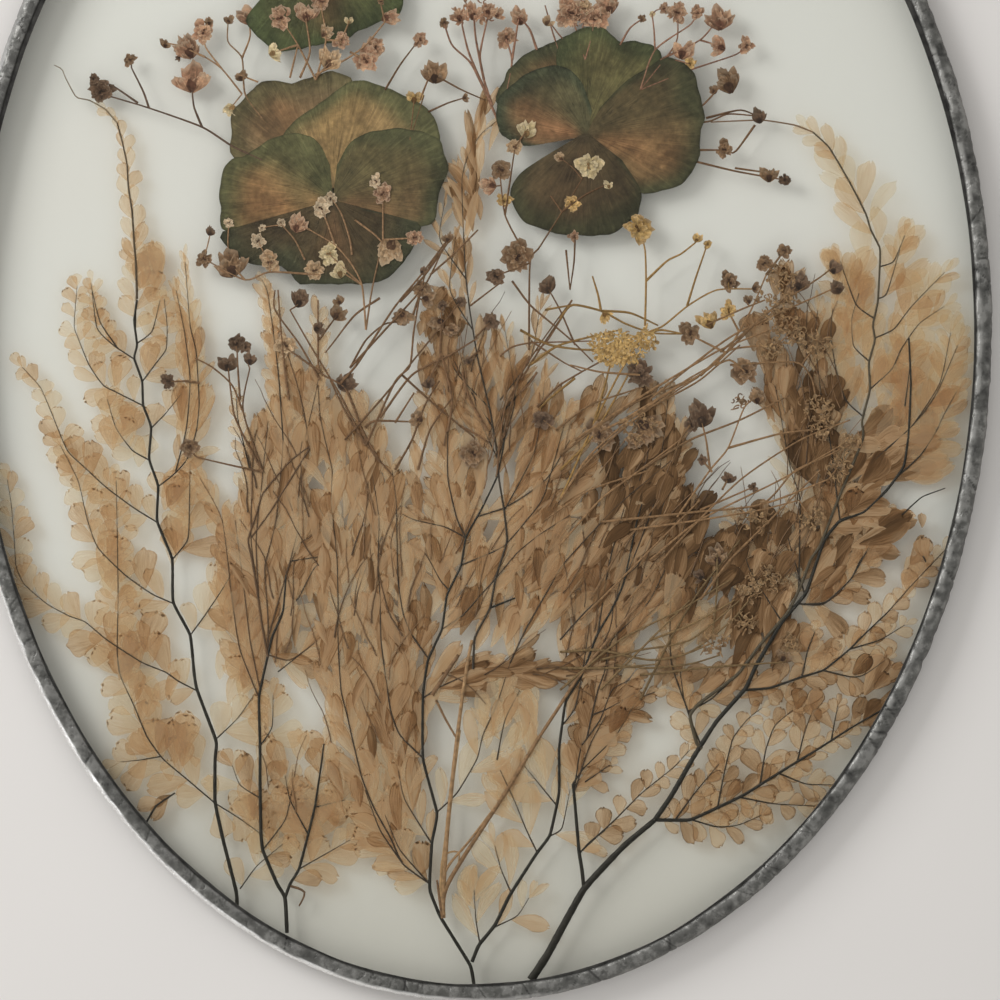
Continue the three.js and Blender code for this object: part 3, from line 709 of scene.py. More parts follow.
# ferns, in sheet pixels: stalks as a path with its first and last radius, some with a colour; branches by
# leaf kind; drifts as (x, y, span across, span down, leaves, lean from the right in degrees), some with a
# tone and body; single leaves as (x, y, lean, size)
ferns = {
    "fern_left": {
        "layer": 0, "tone": 0.24, "body": 0.3,
        "stalks": [("237,905 236,891 223,840 215,802 215,759 216,741 197,690 194,673 190,635 173,602 "
                    "172,559 157,521 158,486 149,459 151,427 143,405 142,381 134,358 137,345 134,321 "
                    "137,299", 1.9, 1.1),
                   ("137,299 136,266 134,243 132,212 128,185 127,165 122,141 117,123", 1.1, 0.7,
                    ink(84, 70, 52)),
                   ("117,123 105,109 89,100 76,97 65,77 62,69 54,65", 0.8, 0.45, ink(136, 120, 98))],
        "fan": ["215,802 190,782 163,759 147,737 134,706 120,675 117,650 118,600 117,526 116,481",
                "197,690 178,681 165,672 141,662 107,640 85,622 69,616 47,604 24,584 16,566 14,539 "
                "11,504 7,479", "173,602 152,594 125,575 98,548 87,519 78,481 60,445",
                "157,521 134,508 107,488 83,466 67,450 51,412 40,387 22,367",
                "149,459 132,450 116,428 107,399", "143,406 116,392 103,385 89,365 78,338 74,325 77,286",
                "134,358 116,347 103,336 96,325 91,283", "219,804 237,817 254,829 261,835",
                "216,741 237,719 254,695", "190,635 205,615 223,588 237,563",
                "172,559 187,541 189,521 190,463", "151,427 165,414 181,394",
                "142,381 156,363 166,349 167,325 164,299", "137,343 152,331 160,300",
                "160,757 140,760 120,762"],
        "broad": ["137,330 136,290 134,245"],
        "small": ["116,350 100,322 92,290"],
        "pair": ["136,275 134,243 132,212 128,185 127,165 122,141 117,123 107,111"],
        "blade": ["158,486 174,474 187,459 196,432 199,403 196,352 190,325 185,262",
                  "172,470 186,430 190,380 184,330 176,290"],
        "drifts": [("fan", (150, 690, 26, 60, 8, 85)), ("fan", (180, 760, 30, 26, 10, 85)),
                   ("tongue", (190, 400, 9, 70, 16, 92)), ("fan", (146, 290, 10, 26, 4, 85)),
                   ("fan", (112, 590, 12, 60, 7, 85)), ("fan", (174, 530, 14, 66, 12, 85)),
                   ("fan", (135, 420, 30, 50, 9, 85)), ("fan", (125, 665, 22, 40, 7, 85)),
                   ("fan", (228, 690, 16, 40, 7, 80)), ("long", (152, 290, 8, 24, 3, 95))],
    },
    "fern_left_inner": {
        "layer": 1, "tone": 0.28, "body": 0.32,
        "stalks": [("287,933 285,898 277,884 263,851 261,835 260,788 260,746 259,697 268,655 272,637 "
                    "283,611 286,575", 2.0, 1.0),
                   ("285,898 290,884 299,869 308,835 315,806 321,766 324,744", 1.6, 0.8),
                   ("290,886 300,889 305,893 302,901 299,906", 1.4, 0.8, ink(128, 98, 72))],
        "fan": ["240,889 257,866 283,844", "262,800 240,785 232,765", "262,745 272,727 273,695",
                "283,611 297,600 313,570 322,560", "299,869 350,840", "315,806 345,800",
                "308,835 290,800 285,775", "278,672 317,641",
                "290,884 299,869 308,835 315,806 321,766 324,744", "292,561 324,556",
                "263,851 285,820 292,790"],
        "tongue": ["259,700 240,650 232,600 222,520 200,478", "286,575 298,545 310,537 319,524",
                   "262,690 250,640 244,590 235,520"],
        "drifts": [("fan", (298, 800, 32, 44, 10, 88)), ("fan", (262, 810, 14, 40, 6, 92)),
                   ("tongue", (245, 600, 20, 80, 20, 95)), ("fan", (322, 835, 20, 18, 4, 70)),
                   ("rib", (290, 800, 34, 40, 3, 95))],
    },
    "fern_mid_left": {
        "layer": 2, "tone": 0.3, "body": 0.4,
        "stalks": [("268,657 262,625 257,590 252,560 248,540 256,515 262,495 270,484 290,461 310,446",
                    1.1, 0.8, ink(98, 72, 50)),
                   ("310,448 290,480 270,512 250,539", 1.0, 0.7, ink(98, 72, 50))],
        "tongue": ["268,657 268,620 266,590 265,565 276,520 283,440 278,370 268,295",
                   "257,590 251,540 252,480 256,430",
                   "275,637 286,575 298,530 298,500 305,440 318,380 318,320", "310,446 300,395 285,345",
                   "268,655 290,660 317,641", "262,600 256,540 262,480 268,420"],
        "small": ["283,440 278,370 268,295 262,280", "250,470 238,420 236,395"],
        "drifts": [("tongue", (280, 560, 34, 110, 38, 93)), ("tongue", (300, 470, 30, 60, 22, 96)),
                   ("tongue", (285, 405, 20, 46, 5, 92)), ("tongue", (260, 490, 12, 40, 6, 88)),
                   ("rib", (280, 560, 40, 120, 14, 92)),
                   ("blade", (280, 540, 40, 120, 24, 93), 0.5, 0.5)],
    },
    "fern_centre_left": {
        "layer": 3, "tone": 0.31, "body": 0.4, "rib": 0.9, "ribInk": ink(62, 50, 39),
        "stalks": [("474,985 470,965 441,918 430,891 430,873 432,842 437,813 423,759 423,695 428,660 "
                    "442,629 447,595 461,566 466,537 481,510 497,477 504,443 502,414 519,394 537,372",
                    1.8, 0.7)],
        "tongue": ["430,885 403,864 390,837 374,808 361,775 347,715 341,690 338,640 338,600 337,560 "
                   "334,530 331,500 332,470 325,440 320,415 318,385",
                   "423,757 400,735 391,712 386,680 381,640 380,600 378,560 379,520 374,485 368,455",
                   "427,657 412,635 403,613 398,580 397,540 396,500 392,470",
                   "510,663 526,629 544,597 562,566 584,541 615,508 644,483 673,459",
                   "442,629 463,615 479,597 497,577 517,553 539,535 570,515",
                   "461,565 481,557 504,546 526,521 544,495 566,419",
                   "479,517 504,508 526,495 548,477 570,440", "466,537 457,519 448,479 448,432 454,392",
                   "466,537 445,527 415,520 402,514", "449,590 440,580 432,565 425,553",
                   "425,697 440,687 462,677 487,667", "432,842 405,800 398,770"],
        "fan": ["403,864 380,830 365,790", "430,885 400,850 385,815"],
        "pale": ["437,813 457,793 477,759 483,735 497,704 510,663"],
        "drifts": [("tongue", (345, 600, 34, 130, 44, 92)), ("tongue", (385, 620, 26, 120, 36, 90)),
                   ("tongue", (365, 760, 34, 70, 24, 98)), ("tongue", (400, 780, 16, 60, 12, 95)),
                   ("tongue", (350, 470, 34, 50, 24, 95)), ("tongue", (440, 480, 30, 60, 18, 82)),
                   ("tongue", (470, 570, 40, 50, 14, 75)),
                   ("pale", (500, 725, 24, 34, 9, 68), 0.14, 0.4),
                   ("pale", (510, 560, 55, 50, 18, 70), 0.22, 0.35),
                   ("tongue", (570, 590, 46, 36, 22, 62), 0.34, 0.3),
                   ("tongue", (515, 674, 74, 6, 22, 9), 0.5, 0.5),
                   ("tongue", (450, 690, 18, 10, 8, 20), 0.5, 0.5), ("rib", (360, 620, 50, 150, 22, 92)),
                   ("blade", (365, 620, 44, 150, 36, 92), 0.5, 0.5), ("rib", (470, 540, 50, 90, 8, 72)),
                   ("rib", (500, 675, 70, 8, 7, 9)), ("tongue", (442, 580, 32, 60, 18, 82), 0.42, 0.42),
                   ("tongue", (488, 615, 40, 44, 20, 72), 0.42, 0.42),
                   ("tongue", (415, 690, 16, 66, 15, 88), 0.4, 0.42),
                   ("tongue", (535, 590, 36, 46, 16, 65), 0.42, 0.42),
                   ("tongue", (474, 490, 18, 40, 8, 85), 0.42, 0.42),
                   ("tongue", (408, 748, 13, 38, 8, 92), 0.42, 0.42)],
    },
    "fern_centre_right": {
        "layer": 2, "tone": 0.5, "body": 0.45, "rib": 0.9, "ribInk": ink(62, 50, 39),
        "stalks": [("472,962 479,945 495,925 510,895 537,853 550,835 559,793 559,750 562,726 566,701 "
                    "582,675 597,635 611,611 624,582 637,521 642,504", 1.9, 0.8)],
        "pale": ["508,889 501,869 495,846", "479,944 476,920 474,890", "536,851 526,829 515,802 500,770",
                 "553,806 535,779 521,762", "492,927 517,916 529,898", "550,835 562,828 570,790",
                 "497,760 505,720 520,690"],
        "tongue": ["562,726 575,708 582,675 590,620",
                   "582,735 592,715 598,690 605,670 612,640 650,600 690,515", "592,715 605,710 620,702",
                   "560,640 585,612 600,598 620,580 640,562 665,500 680,440", "624,582 655,500 668,400",
                   "597,635 610,560 632,480"],
        "fan": ["582,745 600,720 612,690 630,680", "575,790 590,745 606,715"],
        "drifts": [("tongue", (640, 490, 42, 58, 44, 72), 0.8, 0.64),
                   ("tongue", (605, 560, 40, 50, 30, 62), 0.62, 0.5),
                   ("tongue", (685, 584, 30, 42, 26, 72), 0.74, 0.6),
                   ("tongue", (590, 650, 30, 40, 20, 75), 0.36, 0.32),
                   ("fan", (646, 474, 30, 36, 16, 75), 0.8, 0.66),
                   ("fan", (682, 536, 22, 22, 12, 80), 0.78, 0.64),
                   ("fan", (610, 720, 16, 28, 6, 75), 0.36, 0.3),
                   ("tongue", (560, 500, 36, 40, 20, 60), 0.5, 0.42),
                   ("pale", (538, 755, 16, 40, 9, 100), 0.14, 0.42),
                   ("pale", (505, 800, 20, 22, 4, 95), 0.14, 0.4),
                   ("pale", (470, 905, 10, 8, 4, 95), 0.12, 0.42),
                   ("tongue", (640, 540, 50, 36, 24, 70), 0.78, 0.6),
                   ("fan", (600, 640, 40, 26, 8, 70), 0.3, 0.36),
                   ("fan", (655, 610, 44, 30, 14, 70), 0.26, 0.35), ("rib", (620, 540, 80, 90, 26, 62)),
                   ("rib", (590, 650, 30, 50, 10, 75)),
                   ("tongue", (600, 428, 50, 28, 14, 60), 0.45, 0.42)],
    },
    "fern_centre_tall": {
        "layer": 4, "tone": 0.46, "body": 0.36, "rib": 0.7,
        "stalks": [("473,669 475,637 490,608 496,577 507,541 504,510 499,479 498,459 490,410 478,360 "
                    "470,312 466,279", 1.2, 0.7, ink(58, 49, 40)), ("490,608 515,598", 1.1, 0.8)],
        "slim": ["470,312 466,279 463,223 462,179 468,156 481,134 506,114", "466,279 440,240 445,200",
                 "498,459 515,400 505,330", "490,410 455,370 440,320", "504,510 535,450 545,380",
                 "470,330 450,290 455,240", "500,400 530,360 540,310"],
        "blade": ["490,430 470,390 445,345", "498,459 480,420 470,380"],
        "drifts": [("slim", (480, 400, 36, 60, 30, 92)), ("slim", (468, 222, 13, 74, 17, 92), 0.5, 0.46),
                   ("slim", (480, 146, 13, 24, 6, 72), 0.5, 0.46),
                   ("small", (438, 320, 24, 28, 26, 90), 0.58, 0.45),
                   ("slim", (520, 450, 34, 46, 26, 70)), ("tongue", (445, 400, 26, 40, 14, 95)),
                   ("rib", (480, 430, 50, 70, 18, 85))],
    },
    "fern_right": {
        "layer": 0, "tone": 0.4, "body": 0.36, "rib": 1.0,
        "stalks": [("531,980 548,954 584,889 624,846 655,820", 4.2, 2.7),
                   ("655,820 690,820 717,808 744,795 784,770 820,748 851,728 882,710", 1.9, 0.8),
                   ("746,690 770,688 802,677 824,670 849,650 864,635 887,613", 1.3, 0.7),
                   ("655,820 672,795 695,755 717,721 746,688 755,668 782,622 806,593 824,541 840,521 "
                    "864,512 887,490 904,466 909,430 911,383 909,338", 2.6, 0.9),
                   ("584,889 582,870 579,851 575,804 573,784", 2.0, 1.4),
                   ("902,515 922,497 946,488", 0.8, 0.5), ("580,853 590,842 605,830", 1.0, 0.8)],
        "coin": ["573,784 584,768 615,737 637,701 655,692", "585,782 610,765",
                 "575,795 579,757 588,717 597,683", "582,851 615,820 642,793 673,768 690,750",
                 "655,822 690,820 717,808 744,795 784,770 820,748 851,728 882,710",
                 "674,817 695,793 719,764", "717,806 724,775 733,739 748,719 762,708",
                 "759,782 766,750 775,726 793,710", "797,762 804,735 811,715", "831,739 835,721 838,705",
                 "779,775 806,784 833,785", "741,800 775,804 815,806", "692,822 717,827 739,825 762,815",
                 "746,691 770,688 802,677 824,670 849,650 864,635 887,613 913,584 947,548",
                 "802,677 808,650 815,632", "824,672 851,677 864,675 887,659", "849,650 880,640 905,625",
                 "697,744 690,718 684,699 680,670", "688,712 710,700 733,679 760,650",
                 "804,608 826,602 851,579 860,561 873,545"],
        "fan": ["782,622 750,570 735,520", "806,593 792,552 784,522",
                "804,608 824,604 851,579 869,547 885,519"],
        "long": ["899,480 920,456 936,432 944,415 957,391"],
        "drifts": [("fan", (775, 556, 44, 22, 22, 85), 0.74, 0.6),
                   ("fan", (745, 600, 36, 40, 18, 70), 0.7, 0.58),
                   ("tongue", (750, 625, 36, 52, 34, 68), 0.64, 0.55),
                   ("fan", (690, 640, 34, 22, 8, 60), 0.3, 0.35),
                   ("coin", (870, 695, 24, 36, 10, 60), 0.5, 0.46), ("fan", (905, 585, 20, 22, 4, 60)),
                   ("coin", (795, 712, 22, 20, 8, 60)), ("fan", (850, 565, 32, 28, 9, 65)),
                   ("fan", (868, 712, 12, 22, 6, 60), 0.58, 0.5), ("fan", (790, 655, 30, 10, 5, 20)),
                   ("rib", (770, 560, 50, 46, 16, 70)),
                   ("tongue", (700, 692, 50, 14, 14, 40), 0.45, 0.45)],
    },
    "fern_right_tall": {
        "layer": 1, "tone": 0.2, "body": 0.26, "size": 1.05,
        "stalks": [("702,749 697,744 690,716 700,703 737,675 760,645 788,612 800,588 811,559 820,546 "
                    "838,500 863,439 862,421 870,390 869,363 875,340 873,325 878,301 880,263 880,248 "
                    "871,230 866,214 855,192 844,172 829,147 813,132", 1.8, 0.8, ink(84, 74, 57)),
                   ("813,132 795,125 762,120 710,122", 0.8, 0.7, ink(134, 106, 80))],
        "long": ["880,248 871,230 866,214 855,192 844,172 829,147 813,132",
                 "876,338 894,329 912,306 945,272", "872,389 892,369 902,348 920,323 945,306",
                 "867,361 854,346 852,319 859,293", "860,416 846,400 836,369 831,333 833,308",
                 "879,299 887,293 900,250", "881,266 894,261 905,235", "871,316 856,304 840,260",
                 "905,406 910,366 909,346", "876,459 909,429 925,411 939,389 958,345",
                 "868,461 891,445 913,425 940,383 951,332"],
        "blade": ["806,593 800,500 792,474 786,445 779,405 775,385",
                  "840,520 835,480 830,440 822,400 815,340 818,310", "690,716 671,660 672,580 690,520"],
        "drifts": [("long", (866, 320, 24, 50, 9, 84)), ("long", (900, 405, 24, 46, 9, 70)),
                   ("fan", (784, 358, 32, 30, 12, 88), 0.5, 0.4),
                   ("fan", (814, 445, 25, 46, 22, 88), 0.74, 0.6),
                   ("tongue", (810, 425, 25, 80, 26, 92), 0.68, 0.55),
                   ("long", (860, 430, 24, 46, 9, 78)), ("fan", (845, 495, 28, 36, 11, 80), 0.45, 0.36),
                   ("long", (845, 290, 8, 24, 3, 98)), ("long", (858, 478, 36, 44, 24, 30), 0.56, 0.5),
                   ("long", (848, 538, 38, 26, 16, 10), 0.58, 0.52),
                   ("long", (900, 448, 18, 34, 9, 12), 0.26, 0.32),
                   ("tongue", (812, 560, 26, 34, 12, 62), 0.62, 0.55),
                   ("rib", (812, 420, 34, 100, 24, 88)),
                   ("tongue", (786, 312, 14, 20, 6, 85), 0.55, 0.46),
                   ("tongue", (776, 408, 15, 26, 12, 95), 0.52, 0.46)],
    },
    "fern_twig": {
        "layer": 1, "tone": 0.55, "body": 0.4,
        "stalks": [("146,823 156,806 175,793", 1.0, 0.8)],
        "leaves": [("small", (162, 801, 186, 1.2)), ("small", (168, 797, 238, 1.1)),
                   ("small", (172, 795, 200, 0.9))],
    },
    "fern_leaf": {
        "layer": 2, "tone": 0.45, "body": 0.4,
        "stalks": [("926,562 923,556", 0.7, 0.6)],
        "leaves": [("fan", (927, 561, 112, 0.8)), ("fan", (922, 528, 80, 0.45))],
    },
}


def nearestFoot(lines, place):
    return min((point for line in lines for point in line), key=lambda point: (point - place).length)


fernLook = {"joinWithin": 9, "smallAbove": 180, "largeBelow": 720, "small": 0.66, "large": 1.12, "rib": 0.8,
            "stalkStep": 4, "stalkSlack": 0.2, "stalkSides": 8, "stalk": ink(36, 34, 29)}
for node, fern in ferns.items():
    heap = newHeap()
    height, tone, body = layerHeight(fern["layer"]), fern["tone"], fern["body"]
    ribRadius = fern.get("rib", fernLook["rib"]) * pixel
    lines = []
    for path, first, last, *own in fern["stalks"]:
        line = smoothLine(readPath(path), fernLook["stalkStep"] * pixel, fernLook["stalkSlack"])
        lines.append(line)
        colour = own[0] if own else fernLook["stalk"]
        addTube(heap, line, first * pixel, last * pixel, height + lifts["stalk"], colour, 1,
                fernLook["stalkSides"])
    for name in leafKinds:
        for path in fern.get(name, []):
            points = readPath(path)
            foot = nearestFoot(lines, points[0])
            if (foot - points[0]).length < fernLook["joinWithin"] * pixel:
                points[0] = foot
            line = smoothLine(points, branchLook["pointStep"] * pixel, branchLook["slack"])
            lines.append(line)
            footDown = sheet["centreY"] - points[0].y / pixel
            down = ease(fernLook["smallAbove"], fernLook["largeBelow"], footDown)
            size = fern.get("size", fernLook["small"] + (fernLook["large"] - fernLook["small"]) * down)
            addBranch(heap, line, name, height, tone, body, ribRadius, size, fern.get("ribInk"))
    for name, patch, *thick in fern.get("drifts", []):
        addDrift(heap, patch, name, height, *(thick or (tone, body)))
    for name, (x, y, lean, size) in fern.get("leaves", []):
        addLeaf(heap, onPane(x, y), math.radians(lean), size, height, tone, body, name)
    makePiece(heap, node + "_fronds", [node], "fern", [dryLeaf, wiryStalk])
    print(node, "leaves and stalks:", len(heap["faces"]), "faces")


# bloom kinds: outer petals, inner petals, heart, and how pale the petal rims are
bloomKinds = {
    "tan": (ink(168, 136, 103), ink(182, 150, 115), ink(96, 70, 52), 0.35),
    "pink": (ink(156, 117, 92), ink(172, 134, 106), ink(92, 62, 48), 0.35),
    "brown": (ink(118, 90, 66), ink(132, 103, 76), ink(70, 50, 38), 0.2),
    "dark": (ink(92, 70, 54), ink(106, 82, 64), ink(60, 46, 37), 0.12),
    "gold": (ink(176, 140, 86), ink(200, 164, 106), ink(110, 80, 46), 0.25),
    "fawn": (ink(138, 108, 77), ink(152, 122, 88), ink(120, 92, 65), 0.2),
    "cream": (ink(196, 174, 132), ink(210, 190, 150), ink(140, 110, 74), 0.4),
    "ringed": (ink(186, 160, 130), ink(205, 182, 152), ink(78, 54, 42), 0.6),
}


def tinted(colour, low, high):
    share = random.uniform(low, high)
    return tuple(v * share for v in colour)


# one small crumpled petal
ruffleLook = {"rows": 4, "columns": 5, "ragged": 0.3, "crumple": 0.08, "mottle": 0.6}


def addRuffle(heap, centre, turn, length, width, height, lift, colour, rimShare):
    seed = random.random() * 40
    rows = []
    for i in range(ruffleLook["rows"]):
        along = i / (ruffleLook["rows"] - 1)
        half = width / 2 * (0.3 + 0.7 * math.sin(along * 2.1))
        row = []
        for k in range(ruffleLook["columns"]):
            across = k / ((ruffleLook["columns"] - 1) / 2) - 1
            far = length * along * (1 - 0.22 * across * across * along)
            far *= 1 + ruffleLook["ragged"] * noise.noise(Vector((across * 2.6, seed, along)))
            x = centre.x + math.cos(turn) * far - math.sin(turn) * half * across
            y = centre.y + math.sin(turn) * far + math.cos(turn) * half * across
            z = height + lift * along * along
            crumple = noise.noise(Vector((across * 1.7, along * 2, seed + 7)))
            z += ruffleLook["crumple"] * length * along * crumple
            mottle = noise.noise(Vector((across * 2.6, along * 1.6, seed)))
            # painted shade: darker at the petal's foot and paler towards its end, with random mottling
            shade = 0.62 + 0.42 * along + ruffleLook["mottle"] * mottle
            tinge = tuple(v * shade for v in colour)
            row.append(addPressed(heap, x, y, z, (across, along, rimShare), tinge))
        rows.append(row)
    addGrid(heap, rows, 0)


# a small flower, crumpled flat: seen from above as a ragged ring of petals, or from its side as a cup
bloomLook = {"cups": 0.5, "cupPetals": 13, "cupSpread": 0.95, "liftShare": 0.1, "liftMost": 0.00012,
             "rings": (("outer", 1.0, 9), ("inner", 0.75, 7), ("outer", 0.48, 5)), "ringTurn": 0.6,
             "ringRise": 0.00016, "heartRise": 0.0002, "heartTurn": 2.4, "slip": 0.12}


def addCup(heap, foot, radius, height, lift, kind, way, shade):
    outer, inner, heart, rimShare = bloomKinds[kind]
    for _ in range(bloomLook["cupPetals"]):
        off = spread(bloomLook["cupSpread"])
        length = radius * random.uniform(1.0, 1.9) * (1 - 0.25 * abs(off))
        width, rise = length * random.uniform(0.35, 0.6), random.uniform(0, 0.0001)
        colour = tinted(random.choice((outer, inner)), shade * 0.7, shade * 1.2)
        addRuffle(heap, foot, way + off, length, width, height + rise, lift, colour, rimShare)
    colour = tinted(heart, 0.8, 1.2)
    addRuffle(heap, foot, way, radius * 0.7, radius * 0.6, height + bloomLook["liftMost"], lift, colour, 0.0)


def addBloom(heap, centre, radius, height, kind, way):
    outer, inner, heart, rimShare = bloomKinds[kind]
    shade, lift = random.uniform(0.85, 1.15), min(bloomLook["liftShare"] * radius, bloomLook["liftMost"])
    if kind != "ringed" and random.random() < bloomLook["cups"]:
        ahead = Vector((math.cos(way), math.sin(way)))
        return addCup(heap, centre - ahead * radius * 0.85, radius, height, lift, kind, way, shade)
    start, squash = anyTurn(), random.uniform(0.7, 1.0)
    for ring, share, count in bloomLook["rings"]:
        for i in range(count):
            turn = start + 2 * math.pi * (i + spread(0.4)) / count
            slip = Vector((spread(1), spread(1))) * radius * bloomLook["slip"]
            squeezed = 1 - (1 - squash) * abs(math.sin(turn - way))
            length = radius * share * random.uniform(0.75, 1.15) * squeezed
            width = length * random.uniform(0.55, 0.85)
            colour = tinted(outer if ring == "outer" else inner, shade * 0.75, shade * 1.2)
            rise = bloomLook["ringRise"] * (1 - share)
            addRuffle(heap, centre + slip, turn, length, width, height + rise, lift, colour, rimShare)
        start += bloomLook["ringTurn"]
    for i in range(2):
        addRuffle(heap, centre, start + bloomLook["heartTurn"] * i, radius * 0.25, radius * 0.2,
                  height + bloomLook["heartRise"], 0.0, tinted(heart, 0.8, 1.2), 0.0)


# a flat-topped head of tiny curled florets
umbelLook = {"flat": 0.8, "bend": 0.9, "steps": 5, "step": (0.0002, 0.00042), "radius": (0.0002, 0.00013),
             "sides": 5, "rise": 0.00025, "petals": 0.4, "petalLength": (0.0007, 0.0013),
             "petalWidth": 0.0009, "petalRise": 0.0002, "petalLift": 0.0001}


def addUmbel(heap, place, radius, height, kind, count):
    outer, inner, _, rimShare = bloomKinds[kind]
    for _ in range(count):
        away, turn = radius * math.sqrt(random.random()), anyTurn()
        spot = place + Vector((math.cos(turn), math.sin(turn) * umbelLook["flat"])) * away
        bend, way = spread(umbelLook["bend"]), anyTurn()
        step = random.uniform(*umbelLook["step"])
        line = [spot]
        for _ in range(umbelLook["steps"]):
            line.append(line[-1] + Vector((math.cos(way), math.sin(way))) * step)
            way += bend
        tint = random.uniform(0.75, 1.15)
        colour = tuple(v * tint for v in random.choice((outer, inner)))
        rise = random.uniform(0, umbelLook["rise"])
        addTube(heap, line, *umbelLook["radius"], height + rise, colour, 0, umbelLook["sides"])
        if random.random() < umbelLook["petals"]:
            addRuffle(heap, spot, way, random.uniform(*umbelLook["petalLength"]), umbelLook["petalWidth"],
                      height + umbelLook["petalRise"], umbelLook["petalLift"], colour, rimShare)


